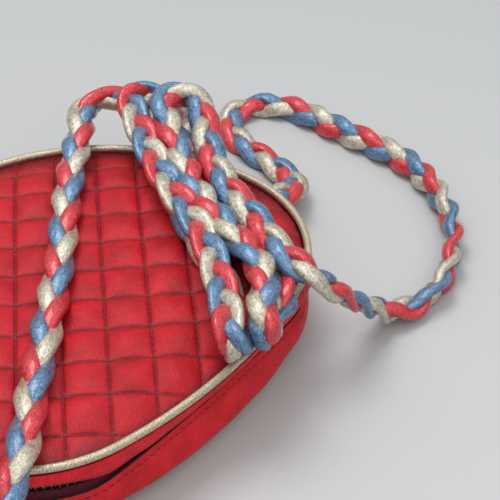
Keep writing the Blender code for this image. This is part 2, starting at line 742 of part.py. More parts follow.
def make_tab(side, name):
    """A leather tab over the seam at one end, with the sleeve that grips the strap, and two rivets."""
    middle = side * END_S
    stations = spread(middle - TAB_LENGTH / 2, middle + TAB_LENGTH / 2, 7)
    tab = loft(name + "_tab", stations, tab_ring, red_leather, smooth_angle=30)
    outer = tab_ring(middle)[2][0]
    centre = place(middle, outer, SLEEVE_Z)
    axes = (Vector((side, 0, 0)), Vector((0, 1, 0)), Vector((0, 0, 1)))
    sleeve = bmesh.new()
    add_box(sleeve, centre, axes, ((-TAB_THICK / 2, SLEEVE_LENGTH), (-SLEEVE_WIDTH / 2, SLEEVE_WIDTH / 2),
                                   (-SLEEVE_HEIGHT / 2, SLEEVE_HEIGHT / 2)))
    long_edges = [e for e in sleeve.edges
                  if abs((e.verts[0].co - e.verts[1].co).normalized().dot(axes[0])) > 0.9]
    bmesh.ops.bevel(sleeve, geom=long_edges, offset=SLEEVE_HEIGHT * 0.32, segments=2, affect='EDGES', profile=0.5)
    bmesh.ops.recalc_face_normals(sleeve, faces=sleeve.faces)
    mesh = bpy.data.meshes.new(name + "_sleeve")
    sleeve.to_mesh(mesh)
    sleeve.free()
    join_by_union(tab, mesh)
    for part, z in (("upper", SLEEVE_Z + RIVET_REACH), ("lower", SLEEVE_Z - RIVET_REACH)):
        make_rivet(side, name + "_" + part + "_rivet", place(middle, outer + GAP, z))


def make_rivet(side, name, foot):
    """A low domed rivet head on the face of a tab."""
    work = bmesh.new()
    axis = Vector((side, 0, 0))
    sides = 12
    rings = []
    for rise, radius in ((0.0, RIVET_RADIUS), (RIVET_RISE * 0.55, RIVET_RADIUS * 0.9), (RIVET_RISE, RIVET_RADIUS * 0.45)):
        rings.append([work.verts.new(foot + axis * rise + Vector((0, math.cos(2 * math.pi * i / sides) * radius,
                                                                  math.sin(2 * math.pi * i / sides) * radius)))
                      for i in range(sides)])
    for low, high in zip(rings, rings[1:]):
        for i in range(sides):
            j = (i + 1) % sides
            work.faces.new((low[i], low[j], high[j], high[i]))
    work.faces.new(rings[0])
    work.faces.new(rings[-1])
    bmesh.ops.recalc_face_normals(work, faces=work.faces)
    mesh = bpy.data.meshes.new(name)
    work.to_mesh(mesh)
    work.free()
    finish_piece(name, mesh, pale_brass, 30)


def strap_tube(name, route, steps):
    """A stretch of the strap as a plain round tube through its route."""
    points = curve_through([Vector(p) for p in route], steps)
    curve = bpy.data.curves.new(name, 'CURVE')
    curve.dimensions = '3D'
    curve.bevel_depth = STRAP_RADIUS
    curve.bevel_resolution = 2
    curve.use_fill_caps = True
    line = curve.splines.new('POLY')
    line.points.add(len(points) - 1)
    for spot, point in zip(line.points, points):
        spot.co = (*point, 1.0)
    curve.materials.append(strap_leather(name))
    piece = bpy.data.objects.new(name, curve)
    bpy.context.scene.collection.objects.link(piece)


def make_hank():
    """Outer shape of the wound strap: an outline with round ends, drawn up to the height of its turns."""
    near, far = Vector(HANK_NEAR), Vector(HANK_FAR)
    along = (near - far).normalized()
    across = Vector((-along.y, along.x))
    steps = 12
    outline = []
    for centre, start in ((near, -math.pi / 2), (far, math.pi / 2)):
        for i in range(steps + 1):
            a = start + math.pi * i / steps
            outline.append(centre + (along * math.cos(a) + across * math.sin(a)) * HANK_HALF_WIDTH)
    shrink = 0.003
    middle = (near + far) / 2
    rings = []
    for z, inset in ((HANK_FOOT_Z, shrink), (HANK_FOOT_Z + 0.004, 0.0), (HANK_TOP_Z - 0.004, 0.0), (HANK_TOP_Z, shrink)):
        ring = []
        for p in outline:
            inward = (middle - p).normalized()
            ring.append((*(p + inward * inset), z))
        rings.append(ring)
    count = len(outline)
    verts = [v for ring in rings for v in ring]
    faces = [tuple(range(count)), tuple(range(3 * count, 4 * count))]
    for k in range(3):
        for i in range(count):
            j = (i + 1) % count
            faces.append((k * count + i, k * count + j, (k + 1) * count + j, (k + 1) * count + i))
    finish_piece("strap_hank", mesh_from("strap_hank", verts, faces), strap_leather, 40)


def main():
    clear_scene()
    make_front_panel()
    make_back_and_lining()
    make_pipings()
    make_gussets()
    make_zip()
    make_slider()
    make_puller()
    make_tab(1.0, "left")
    make_tab(-1.0, "right")
    strap_tube("strap_left_run", LEFT_ROUTE, 2)
    strap_tube("strap_right_run", RIGHT_ROUTE, 1)
    make_hank()


main()
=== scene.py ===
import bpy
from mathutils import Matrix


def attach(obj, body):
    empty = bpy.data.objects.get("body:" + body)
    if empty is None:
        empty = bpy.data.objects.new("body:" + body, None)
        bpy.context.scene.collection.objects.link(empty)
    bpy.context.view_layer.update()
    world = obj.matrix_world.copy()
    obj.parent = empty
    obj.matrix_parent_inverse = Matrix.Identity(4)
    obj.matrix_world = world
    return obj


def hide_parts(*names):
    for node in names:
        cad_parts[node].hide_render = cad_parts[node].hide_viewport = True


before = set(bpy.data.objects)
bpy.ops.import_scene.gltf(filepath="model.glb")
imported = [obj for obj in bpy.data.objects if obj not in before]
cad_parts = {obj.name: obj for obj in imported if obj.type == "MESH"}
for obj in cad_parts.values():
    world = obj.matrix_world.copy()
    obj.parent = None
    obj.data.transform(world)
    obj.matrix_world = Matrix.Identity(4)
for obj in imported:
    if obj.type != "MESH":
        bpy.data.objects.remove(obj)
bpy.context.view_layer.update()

# A small zip-top crossbody bag lies on its back, with its braided leather strap wound up on top of it.
# The quilted front faces up, the zip edge faces +Y and the two strap ends face +X and -X. Sizes are in metres.

import math
from bisect import bisect_right

import bmesh
import bpy
import numpy as np
from mathutils import Vector

# Sizes of the bag, nearly all as in the solids

HALF_WIDTH, ZIP_RISE, FOOT_DROP = 0.092, 0.061, 0.095
ZIP_EDGE_RADIUS = 0.200
WIDEST_Y = (FOOT_DROP - ZIP_RISE) / 2
ZIP_Y = WIDEST_Y + ZIP_RISE
GAP = 0.0003
PIPING_RADIUS, PIPING_CORD_SHARE = 0.0017, 0.87
FRONT_PIPING_Z = 0.038
BACK_PIPING_Z = PIPING_RADIUS + GAP
BACK_INSET, LEAN = 0.002, 0.005
PANEL_EDGE_Z, PANEL_UNDER_Z, PANEL_INSET = 0.0362, 0.0342, PIPING_RADIUS + GAP
CROWN, CROWN_MARGIN = 0.0042, 0.020
BACK_PANEL_TOP = 0.0034
LEATHER = 0.0018
# Places in the gusset's section: a pair of distances out and a pair of heights, round the shoulders and sunk in
ZIP_LINE = ((-0.0012, -0.0048), (0.0202, 0.0241))
BULGE = ((-0.0006, -0.0016), (0.0125, 0.0125))
UNDER = ((-0.0017, -0.0024), (0.0078, 0.0073))
DIP_HALF_LENGTH, DIP_SOFTNESS = 0.058, 0.012
FOOT_BULGE = 0.0030
# Opening between the two lips of the zip, at places along the rim
SLIT = ((-0.125, 0.0010), (-0.118, 0.0030), (-0.070, 0.0034), (-0.055, 0.0030), (-0.040, 0.0027), (0.027, 0.0027),
        (0.036, 0.0031), (0.050, 0.0042), (0.058, 0.0058), (0.0655, 0.0076), (0.0715, 0.0086), (0.080, 0.0090),
        (0.106, 0.0090), (0.118, 0.0015), (0.125, 0.0010))
SEAM_FROM_END = 0.003
TAPE_THICK, TAPE_DEPTH, BACK_TAPE_REACH, FRONT_TAPE_WIDTH = 0.0007, 0.0044, 0.0060, 0.0028
TOOTH_REACH, TOOTH_PITCH, CHAIN_RISE = 0.0026, 0.0027, 0.0028
ZIP_LEFT_CLEAR, ZIP_RIGHT_CLEAR, STOP_LENGTH, TOOTH_TO_STOP = 0.02265, 0.01165, 0.0022, 0.0008
TAB_LENGTH, TAB_FOOT_Z, TAB_HEAD_Z, TAB_THICK, TAB_FACE_OUT = 0.020, 0.0075, 0.0315, 0.0020, 0.00215
TAB_STITCH_INSET = 0.0016
SLEEVE_Z, RIVET_RADIUS, RIVET_REACH = 0.0195, 0.0026, 0.0085

# Quilting and stitching
QUILT_WIDTH, QUILT_PUFF, QUILT_NODE_X = 0.023, 0.0024, 0.0123
QUILT_SLANT = 0.7071
GATHER_REACH, GATHER_DEPTH, SOFT_DEPTH = 0.26, 0.00009, 0.00010
QUILT_MARKS, QUILT_STEPS, TRIM_SIDES = 13, 18, 240
STITCH_STEP = 0.0031
STITCH_IN, STITCH_RISE = 0.0023, 0.00016

# Leather of the gusset: rolls, pleats, puckers and slack
INNER_PROUD, INNER_PUFF, LIP_ROLL, LIP_TURNED_IN = 0.0006, 0.0011, 0.0010, 0.0015
PLEAT_STEP, PLEAT_DEPTH, INNER_SLACK = 0.0042, 0.00020, 0.00022
SHOULDER_PROUD, BULGE_PROUD, UNDER_PROUD = Vector((0.0011, 0.0002)), Vector((0.0014, 0)), Vector((0.0004, 0))
SEAM_SUNK, SEAM_HALF_WIDTH, PUCKER_HEIGHT, OUTER_SLACK, TUCK_FOLDS = 0.00026, 0.00055, 0.00007, 0.00026, 0.00022
# The cut edge slants out by a first step, and by a second one where the slider doesn't pass
EDGE_STEP, EDGE_SLANT, SLANT_ENDS = Vector((-0.00010, 0.00008)), Vector((-0.00045, 0.00040)), 0.088
FOOT_SLACK, FOOT_FOLDS = 0.00035, 0.00016

# Strap: three leather cords plaited flat
CORD_WIDTH, CORD_HEIGHT = 0.0064, 0.0041
WEAVE_OUT, WEAVE_UP = 0.0034, 0.0019
# At a fold the plait is pinched; it counts as one above the height of the hank's lowest turns
FOLD_PINCH, FOLD_ABOVE = 0.30, 0.040
CORD_TILT, CORD_SWELL, CORD_UNEVEN, CORD_SQUARE = 0.55, 0.05, 0.02, 0.88
BRAID_STEP, ROUTE_SOFTNESS = 0.0010, 0.0035
CORD_SIDES = 16
# Turns of the plait reached at places along the strap, which is worked a little looser in some stretches
BRAID_TURNS = ((0.0, -5.27), (0.121, -2.75), (0.282, 0.25), (0.530, 5.083), (0.596, 6.417), (1.258, 20.417),
               (1.341, 22.417), (1.484, 25.60))


# Outline and sections

def outline_dense(steps=360):
    """Half of the outline, from the middle of the zip edge round the +X end to the foot, as points with normals."""
    side_radius = ((2 * ZIP_RISE * ZIP_EDGE_RADIUS - HALF_WIDTH ** 2 - ZIP_RISE ** 2)
                   / (2 * (ZIP_EDGE_RADIUS - HALF_WIDTH)))
    side_x = HALF_WIDTH - side_radius
    zip_centre_y = ZIP_RISE - ZIP_EDGE_RADIUS
    turn = math.atan2(side_x, -zip_centre_y)
    points = []
    for i in range(steps):
        a = turn * i / steps
        points.append((ZIP_EDGE_RADIUS * math.sin(a), zip_centre_y + ZIP_EDGE_RADIUS * math.cos(a),
                       math.sin(a), math.cos(a)))
    for i in range(steps):
        a = turn + (math.pi / 2 - turn) * i / steps
        points.append((side_x + side_radius * math.sin(a), side_radius * math.cos(a), math.sin(a), math.cos(a)))
    for i in range(steps + 1):
        a = math.pi / 2 * i / steps
        nx, ny = FOOT_DROP * math.cos(a), -HALF_WIDTH * math.sin(a)
        size = math.hypot(nx, ny)
        points.append((HALF_WIDTH * math.cos(a), -FOOT_DROP * math.sin(a), nx / size, ny / size))
    return points, side_radius, turn


HALF_OUTLINE, SIDE_RADIUS, ZIP_TURN = outline_dense()
RUN = [0.0]
for before, after in zip(HALF_OUTLINE, HALF_OUTLINE[1:]):
    RUN.append(RUN[-1] + math.hypot(after[0] - before[0], after[1] - before[1]))
HALF_RUN = RUN[-1]
END_S = ZIP_EDGE_RADIUS * ZIP_TURN + SIDE_RADIUS * (math.pi / 2 - ZIP_TURN)

SEAM_S = END_S - SEAM_FROM_END


def rim(s):
    """The outline at s metres from the middle of the zip edge, positive towards +X: point and outward normal."""
    side = 1.0 if s >= 0 else -1.0
    s = min(abs(s), HALF_RUN)
    i = min(max(bisect_right(RUN, s) - 1, 0), len(RUN) - 2)
    t = (s - RUN[i]) / (RUN[i + 1] - RUN[i])
    a, b = HALF_OUTLINE[i], HALF_OUTLINE[i + 1]
    x, y, nx, ny = (a[k] + (b[k] - a[k]) * t for k in range(4))
    size = math.hypot(nx, ny)
    return Vector((side * x, y + WIDEST_Y)), Vector((side * nx / size, ny / size))


def placed(s, section):
    """Points of a section, each a distance out and a height, as places in space at s along the rim."""
    return [tuple(place(s, p.x, p.y)) for p in section]


def place(s, out, z):
    """A point at s along the rim, out from the outline, at height z."""
    point, normal = rim(s)
    return Vector((point.x + normal.x * out, point.y + normal.y * out, z))


def outward(s, way):
    """A direction in the section at s, as a direction in space."""
    _, normal = rim(s)
    return Vector((normal.x * way.x, normal.y * way.x, way.y))


def around_rim(count):
    return [-HALF_RUN + 2 * HALF_RUN * k / count for k in range(count)]


def spread(start, end, count):
    return [start + (end - start) * i / (count - 1) for i in range(count)]


def smooth(t):
    t = min(max(t, 0.0), 1.0)
    return t * t * (3 - 2 * t)


def square_to(step):
    return Vector((-step.y, step.x)).normalized()


def dip(s):
    """0 round the shoulders, 1 at the middle of the zip edge, where the soft gusset sinks in."""
    if abs(s) >= END_S:
        return 0.0
    t = 1 - (rim(s)[0].x / DIP_HALF_LENGTH) ** 2
    return (t + math.sqrt(t * t + DIP_SOFTNESS)) / 2


def section_place(pairs, s):
    sink = dip(s)
    return Vector([shoulder + (middle - shoulder) * sink for shoulder, middle in pairs])


def slit_width(s):
    """How far the two lips of the zip stand apart, with the corners of the table rounded off."""
    shifts = (-0.005, -0.0025, 0.0, 0.0025, 0.005)
    return sum(float(np.interp(s + shift, *zip(*SLIT))) for shift in shifts) / len(shifts)


def back_out(s):
    """How far the back piping lies from the outline: inset, and shifted away from the zip by the lean."""
    return -BACK_INSET - LEAN * rim(s)[1].y


def lower_lip(s):
    """Edge of the back zip gusset, as distance out and height."""
    return section_place(ZIP_LINE, s)


# Where the gusset leather meets the front piping
GUSSET_TOP = Vector((LEATHER / 2 + 0.0002, FRONT_PIPING_Z - PIPING_RADIUS - GAP))


def gusset_foot(s):
    """Where the gusset leather meets the back piping."""
    return Vector((back_out(s) + 0.0008, 2 * PIPING_RADIUS + 2 * GAP))


def down_the_wall(s):
    """Unit step from the front piping towards the zip, in the plane across the rim."""
    return (lower_lip(s) - GUSSET_TOP).normalized()


def upper_lip(s):
    return lower_lip(s) - down_the_wall(s) * slit_width(s)


def wall_normal(s):
    return square_to(down_the_wall(s))


def chain_centre(s):
    """Middle of the zip chain, under the leather."""
    return lower_lip(s) - down_the_wall(s) * CHAIN_RISE - wall_normal(s) * TAPE_DEPTH


def curve_through(points, steps):
    """A smooth run through points."""
    ends = [2 * points[0] - points[1]] + list(points) + [2 * points[-1] - points[-2]]
    run = []
    for k in range(1, len(ends) - 2):
        p0, p1, p2, p3 = ends[k - 1:k + 3]
        for i in range(steps):
            t = i / steps
            run.append(0.5 * (2 * p1 + (p2 - p0) * t + (2 * p0 - 5 * p1 + 4 * p2 - p3) * t * t
                              + (3 * p1 - p0 - 3 * p2 + p3) * t ** 3))
    run.append(points[-1])
    return run


def inner_face(outer_run, slack):
    """The outer run of a strip set in by the leather's thickness, between the run's lowest and highest places."""
    ceiling, floor = max(p.y for p in outer_run) + slack, min(p.y for p in outer_run)
    inner = []
    for i, p in enumerate(outer_run):
        step = outer_run[min(i + 1, len(outer_run) - 1)] - outer_run[max(i - 1, 0)]
        q = p - square_to(step) * LEATHER
        inner.append(Vector((q.x, min(max(q.y, floor), ceiling))))
    return inner


def ripple(s, seed, period):
    """A wavering number from -1 to 1 along the rim, made of a few waves that never quite repeat."""
    total = 0.0
    for k in range(4):
        total += math.sin(2 * math.pi * s / (period * (0.72 + 0.19 * k)) + seed * (1.7 + k * 2.3)) / (1 + 0.35 * k)
    return total / 2.6

# Node trees and finishes

class Nodes:
    """A node tree in the making."""

    def __init__(self, tree):
        self.tree = tree

    def node(self, kind, inputs=None, **settings):
        """A new node with its settings, and with its inputs linked or given a value, by name or number."""
        made = self.tree.nodes.new(kind)
        for name, value in settings.items():
            setattr(made, name, value)
        for name, value in (inputs or {}).items():
            self.feed(made.inputs[name], value)
        return made

    def feed(self, socket, value):
        if isinstance(value, bpy.types.NodeSocket):
            self.tree.links.new(value, socket)
        elif isinstance(value, tuple) and socket.type == 'RGBA':
            socket.default_value = (*value, 1.0)
        else:
            socket.default_value = value


class Finish(Nodes):
    """A material in the making, with short calls for its nodes."""

    def __init__(self, name, **sockets):
        self.material = bpy.data.materials.new(name)
        self.material.use_nodes = True
        super().__init__(self.material.node_tree)
        self.shader = self.tree.nodes["Principled BSDF"]
        for socket, value in sockets.items():
            self.shader.inputs[socket.replace("_", " ")].default_value = value
        self.where = self.node('ShaderNodeTexCoord').outputs["Object"]

    def noise(self, size, detail=3.0, rough=0.55, where=None, output="Fac"):
        return self.node('ShaderNodeTexNoise', {"Vector": where or self.where, "Scale": 1.0 / size, "Detail": detail,
                                                "Roughness": rough}).outputs[output]

    def cells(self, scale, where=None, feature='DISTANCE_TO_EDGE'):
        return self.node('ShaderNodeTexVoronoi', {"Vector": where or self.where, "Scale": scale},
                         feature=feature).outputs["Distance"]

    def ribs(self, scale, distortion, direction, detail=2.0):
        return self.node('ShaderNodeTexWave', {"Vector": self.where, "Scale": scale, "Distortion": distortion,
                                               "Detail": detail}, bands_direction=direction).outputs["Fac"]

    def turned(self, rotation, scale):
        return self.node('ShaderNodeMapping', {"Vector": self.where, "Rotation": rotation, "Scale": scale}).outputs[0]

    def stretch(self, value, low, high, to_low=0.0, to_high=1.0):
        return self.node('ShaderNodeMapRange', {"Value": value, "From Min": low, "From Max": high, "To Min": to_low,
                                                "To Max": to_high}).outputs["Result"]

    def maths(self, operation, a, b=0.0):
        return self.node('ShaderNodeMath', {0: a, 1: b}, operation=operation).outputs[0]

    def vectors(self, operation, a, inputs):
        return self.node('ShaderNodeVectorMath', {0: a, **inputs}, operation=operation).outputs[0]

    def blend(self, amount, a, b):
        return self.node('ShaderNodeMix', {0: amount, 6: a, 7: b}, data_type='RGBA', blend_type='MIX').outputs[2]

    def bump(self, height, distance, strength=1.0, after=None):
        inputs = {"Height": height, "Distance": distance, "Strength": strength}
        if after is not None:
            inputs["Normal"] = after
        return self.node('ShaderNodeBump', inputs).outputs["Normal"]

    def bumps(self, *layers):
        """One bump over the other, each given as the numbers of bump()."""
        normal = None
        for layer in layers:
            normal = self.bump(*layer, after=normal)
        return normal

    def dress(self, colour, roughness=None, normal=None, metallic=None):
        for name, value in (("Base Color", colour), ("Roughness", roughness), ("Normal", normal),
                            ("Metallic", metallic)):
            if value is not None:
                self.feed(self.shader.inputs[name], value)
        return self.material


def pebbled_red(name, bright, deep, depth, roughness, painted_light_colour):
    """Soft pebbled leather: small cushions of grain with painted shade in the valleys between them, mottled over the
    piece, with finer pores and pale specks painted as highlights.
    """
    f = Finish(name, Roughness=roughness, Specular_IOR_Level=0.32)
    drift = f.noise(1 / 700, 2.0, 0.5, output="Color")
    moved = f.vectors('ADD', f.where, {1: f.vectors('SCALE', drift, {"Scale": 0.00035})})
    grain = f.stretch(f.cells(1 / 0.00085, moved), 0.0, 0.30)
    pores_and_painted_glints, mottle, patches = f.noise(0.00022, 3.0, 0.6), f.noise(0.011, 4.0, 0.6), f.noise(0.045, 2.0, 0.5)
    tone = f.blend(f.stretch(mottle, 0.30, 0.72), deep, bright)
    # Painted shade: the grain's valleys, low in the bump, are drawn darker.
    tone = f.blend(f.stretch(grain, 0.0, 0.55, 0.50, 0.0), tone, tuple(c * 0.45 for c in deep))
    # Painted highlight: where the fine pore noise is high, pale specks stand in for glints of light on the grain.
    tone = f.blend(f.stretch(pores_and_painted_glints, 0.60, 0.80, 0.0, 0.35), tone, tuple(min(1.0, c * 1.25 + 0.03) for c in bright))
    # Painted light: where a piece carries the shade attribute, its colour is drawn towards a given colour, darker for
    # painted shade on the quilted front and paler for a painted highlight on the inner gusset's lip.
    if painted_light_colour is not None:
        tone = f.blend(f.node('ShaderNodeAttribute', attribute_name="shade").outputs["Fac"], tone, painted_light_colour)
    gloss = f.maths('ADD', f.stretch(patches, 0.3, 0.7, roughness - 0.06, roughness + 0.06),
                    f.stretch(grain, 0.0, 1.0, 0.10, 0.0))
    return f.dress(tone, gloss, f.bumps((grain, depth), (pores_and_painted_glints, depth * 0.35), (mottle, 0.00030, 0.6)))


def champagne_leather(name):
    """Metallic champagne leather of the piping: a fine, slightly slanted grain with pale ridges and brown valleys."""
    f = Finish(name, Roughness=0.32, Metallic=0.55, Specular_IOR_Level=0.5, Coat_Weight=0.15, Coat_Roughness=0.2)
    slanted = f.turned((0.5, 0.4, 0.8), (1.0, 1.0, 0.45))
    fine, broad = f.noise(0.00045, 4.0, 0.7, slanted), f.noise(0.009, 3.0)
    tone = f.blend(f.stretch(fine, 0.38, 0.62), (0.27, 0.21, 0.13), (0.74, 0.66, 0.50))
    tone = f.blend(f.stretch(broad, 0.35, 0.7, 0.0, 0.35), tone, (0.46, 0.39, 0.27))
    return f.dress(tone, f.stretch(fine, 0.3, 0.7, 0.46, 0.26),
                   f.bumps((f.stretch(f.cells(1600.0, slanted), 0.0, 0.25), 0.00006), (fine, 0.00008)))


def plaited_leather(name):
    """Glossy metallic leather of the strap: red, champagne and blue cords, told apart by the number in the UV map."""
    f = Finish(name, Roughness=0.30, Specular_IOR_Level=0.60, Coat_Weight=0.60, Coat_Roughness=0.12)
    uv = f.node('ShaderNodeUVMap', uv_map="cord").outputs["UV"]
    parts = f.node('ShaderNodeSeparateXYZ', {0: uv})
    along, number = parts.outputs[0], parts.outputs[1]
    second, third = f.maths('GREATER_THAN', number, 1.0), f.maths('GREATER_THAN', number, 2.0)

    def three(red, champagne, blue):
        return f.blend(third, f.blend(second, red, champagne), blue)

    lengthwise = f.node('ShaderNodeCombineXYZ', {0: f.maths('MULTIPLY', along, 260.0),
                                                 1: f.maths('MULTIPLY', number, 26.0)}).outputs[0]
    drawn, crinkle = f.noise(1.0, 3.0, 0.6, lengthwise), f.noise(0.0016, 5.0, 0.78)
    streaks = f.maths('ADD', f.maths('MULTIPLY', drawn, 0.30), f.maths('MULTIPLY', crinkle, 0.70))
    # Painted highlight: the second noise below places pale specks that stand in for glints of light on the glossy
    # cords.
    flecks, painted_glints = f.noise(0.00060, 3.0, 0.8), f.noise(0.00045, 2.0, 0.7)
    grain = f.stretch(f.cells(1500.0), 0.0, 0.28)
    tone = three((0.42, 0.006, 0.014), (0.36, 0.31, 0.22), (0.050, 0.115, 0.21))
    for amount, colours in (
            (f.stretch(streaks, 0.40, 0.60), ((0.86, 0.034, 0.050), (0.80, 0.75, 0.60), (0.17, 0.33, 0.54))),
            (f.stretch(painted_glints, 0.56, 0.66, 0.0, 0.55), ((0.96, 0.24, 0.26), (0.95, 0.92, 0.84), (0.42, 0.62, 0.84))),
            (f.stretch(flecks, 0.56, 0.66, 0.0, 0.30), ((0.16, 0.003, 0.008), (0.13, 0.10, 0.06),
                                                        (0.016, 0.035, 0.08))),
            (f.stretch(grain, 0.0, 0.5, 0.30, 0.0), ((0.16, 0.004, 0.010), (0.16, 0.12, 0.07), (0.015, 0.04, 0.10)))):
        tone = f.blend(amount, tone, three(*colours))
    metal = f.maths('ADD', 0.30, f.maths('MULTIPLY', second, 0.25))
    gloss = f.maths('ADD', f.stretch(streaks, 0.3, 0.7, 0.20, 0.32), f.stretch(grain, 0.0, 1.0, 0.10, 0.0))
    facets = f.cells(1300.0, feature='F1')
    return f.dress(tone, gloss, f.bumps((facets, 0.00016), (flecks, 0.00022), (streaks, 0.00035)), metal)


def painted_edge(name):
    """Dark brown edge paint on a cut edge, rubbed paler in places."""
    f = Finish(name, Roughness=0.5, Specular_IOR_Level=0.12)
    rub = f.noise(0.0012, 4.0, 0.7)
    return f.dress(f.blend(f.stretch(rub, 0.60, 0.78, 0.0, 0.4), (0.018, 0.008, 0.008), (0.12, 0.03, 0.03)),
                   f.stretch(rub, 0.3, 0.7, 0.48, 0.66), f.bump(rub, 0.00010))


def waxed_thread(name):
    """Twisted dark red thread with slanting plies."""
    f = Finish(name, Roughness=0.62, Sheen_Weight=0.2)
    plies = f.ribs(900.0, 3.0, 'DIAGONAL', 1.0)
    return f.dress(f.blend(plies, (0.06, 0.002, 0.006), (0.22, 0.008, 0.018)), None, f.bump(plies, 0.00006))


def woven_wine(name):
    """Wine-red woven tape and lining: ribs one way, finer threads the other, with a dusty sheen."""
    f = Finish(name, Roughness=0.86, Sheen_Weight=0.25, Sheen_Roughness=0.5)
    weave = f.maths('MAXIMUM', f.ribs(420.0, 1.0, 'X'), f.ribs(420.0, 1.0, 'Z'))
    fuzz = f.noise(0.0004, 4.0, 0.7)
    tone = f.blend(f.stretch(weave, 0.2, 0.9), (0.060, 0.001, 0.012), (0.200, 0.004, 0.036))
    tone = f.blend(f.stretch(fuzz, 0.55, 0.8, 0.0, 0.4), tone, (0.30, 0.02, 0.07))
    return f.dress(tone, None, f.bumps((weave, 0.00018), (fuzz, 0.00006)))


def pale_brass(name):
    """Soft gold plating, brushed and handled: fine scratches, duller patches, warm tarnish in the low spots."""
    f = Finish(name, Metallic=1.0, Roughness=0.28)
    scratch = f.noise(1 / 260, 3.0, 0.5, f.turned((0.3, 0.2, 0.9), (1.0, 14.0, 14.0)))
    handled = f.noise(0.0022, 4.0, 0.65)
    tone = f.blend(f.stretch(handled, 0.35, 0.7), (0.70, 0.60, 0.40), (0.50, 0.40, 0.24))
    gloss = f.maths('ADD', f.stretch(handled, 0.3, 0.7, 0.20, 0.34), f.stretch(scratch, 0.4, 0.7, 0.0, 0.10))
    return f.dress(tone, gloss, f.bump(scratch, 0.00003))


def pale_floor(name):
    """Plain pale grey with painted light: a little lighter towards one corner, standing in for the fall of the light
    across the floor.
    """
    f = Finish(name, Roughness=0.9, Specular_IOR_Level=0.2)
    apart = f.node('ShaderNodeSeparateXYZ', {0: f.where})
    # Painted light: the grey brightens across the floor towards +X and +Y.
    across = f.stretch(f.maths('ADD', apart.outputs[0], apart.outputs[1]), -0.9, 0.5)
    return f.dress(f.blend(across, (0.376, 0.388, 0.388), (0.555, 0.557, 0.557)))


# Mesh helpers

def angles(count):
    return np.linspace(0, 2 * np.pi, count + 1)[:-1]


def skin(name, rows, closed=True, uv=None, shade=None, number=None):
    """A mesh over rings of points, with both ends capped, or over an open sheet of rows; faces turned outwards."""
    rows = np.asarray(rows, float)
    count, ring = rows.shape[:2]
    grid = np.meshgrid(np.arange(count - 1), np.arange(ring if closed else ring - 1), indexing="ij")
    k, i = (a.ravel() for a in grid)
    k2, i2 = k + 1, i + 1
    faces = np.stack([k * ring + i, k * ring + i2 % ring, k2 * ring + i2 % ring, k2 * ring + i], 1).tolist()
    if closed:
        faces += [list(range(ring)), list(range(count * ring - 1, (count - 1) * ring - 1, -1))]
    mesh = bpy.data.meshes.new(name)
    mesh.from_pydata(rows.reshape(-1, 3).tolist(), [], faces)
    if uv is not None:
        layer = mesh.uv_layers.new(name="cord")
        quads = np.stack([uv[k, i], uv[k, i2], uv[k2, i2], uv[k2, i]], 1).reshape(-1, 2)
        flat = np.full((len(layer.data), 2), uv[0, 0])
        flat[:len(quads)] = quads
        layer.data.foreach_set("uv", flat.ravel())
    if shade is not None:
        add_shade(mesh, np.asarray(shade, float).ravel())
    if number is not None:
        marks = np.zeros(len(faces), int)
        marks[:len(k)] = number[i]
        mesh.polygons.foreach_set("material_index", marks)
    turn_outwards(mesh)
    return mesh


def add_shade(mesh, shade):
    """Keeps a number per point, which a finish reads to draw the colour towards a painted shade or highlight colour."""
    mesh.attributes.new("shade", 'FLOAT', 'POINT').data.foreach_set("value", shade)


def in_scene(name, data):
    made = bpy.data.objects.new(name, data)
    bpy.context.scene.collection.objects.link(made)
    return made


def turn_outwards(mesh):
    work = bmesh.new()
    work.from_mesh(mesh)
    bmesh.ops.recalc_face_normals(work, faces=work.faces)
    work.to_mesh(mesh)
    work.free()
    mesh.update()


def add_piece(name, mesh, finishes, replaced=(), body="bag", smooth_angle=None):
    """Puts a finished mesh in the scene as one piece of a body, in place of the solids it stands for."""
    marks = np.zeros(len(mesh.polygons), np.int32)
    mesh.polygons.foreach_get("material_index", marks)
    mesh.materials.clear()
    for finish in finishes:
        mesh.materials.append(finish)
    mesh.polygons.foreach_set("material_index", np.minimum(marks, len(finishes) - 1))
    piece = in_scene(name, mesh)
    mesh.shade_smooth()
    if smooth_angle:
        mesh.set_sharp_from_angle(angle=math.radians(smooth_angle))
    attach(piece, body)
    if replaced:
        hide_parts(*replaced)
    return piece


def resolved(holder):
    """The mesh that an object's modifiers give, with the object itself taken away."""
    bpy.context.view_layer.update()
    mesh = bpy.data.meshes.new_from_object(holder.evaluated_get(bpy.context.evaluated_depsgraph_get()))
    old = holder.data
    holder.modifiers.clear()
    bpy.data.objects.remove(holder, do_unlink=True)
    if old.users == 0:
        bpy.data.meshes.remove(old)
    return mesh


def with_modifier(mesh, kind, **settings):
    """The mesh after one modifier."""
    holder = in_scene("shaping", mesh)
    modifier = holder.modifiers.new("shaping", kind)
    for name, value in settings.items():
        setattr(modifier, name, value)
    return resolved(holder)


def softened_solid(node, width, segments=2, angle=28.0):
    """A copy of a solid of the frame with its flat faces joined up and its edges rounded."""
    work = bmesh.new()
    work.from_mesh(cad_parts[node].data)
    bmesh.ops.remove_doubles(work, verts=work.verts, dist=0.000004)
    bmesh.ops.dissolve_limit(work, angle_limit=math.radians(2), verts=work.verts[:], edges=work.edges[:])
    bmesh.ops.recalc_face_normals(work, faces=work.faces)
    mesh = bpy.data.meshes.new(node + "_softened")
    work.to_mesh(mesh)
    work.free()
    return with_modifier(mesh, 'BEVEL', width=width, segments=segments, limit_method='ANGLE',
                         angle_limit=math.radians(angle), harden_normals=False, use_clamp_overlap=True)


# Geometry Nodes: a piece repeated along a path, and a round cord along a path

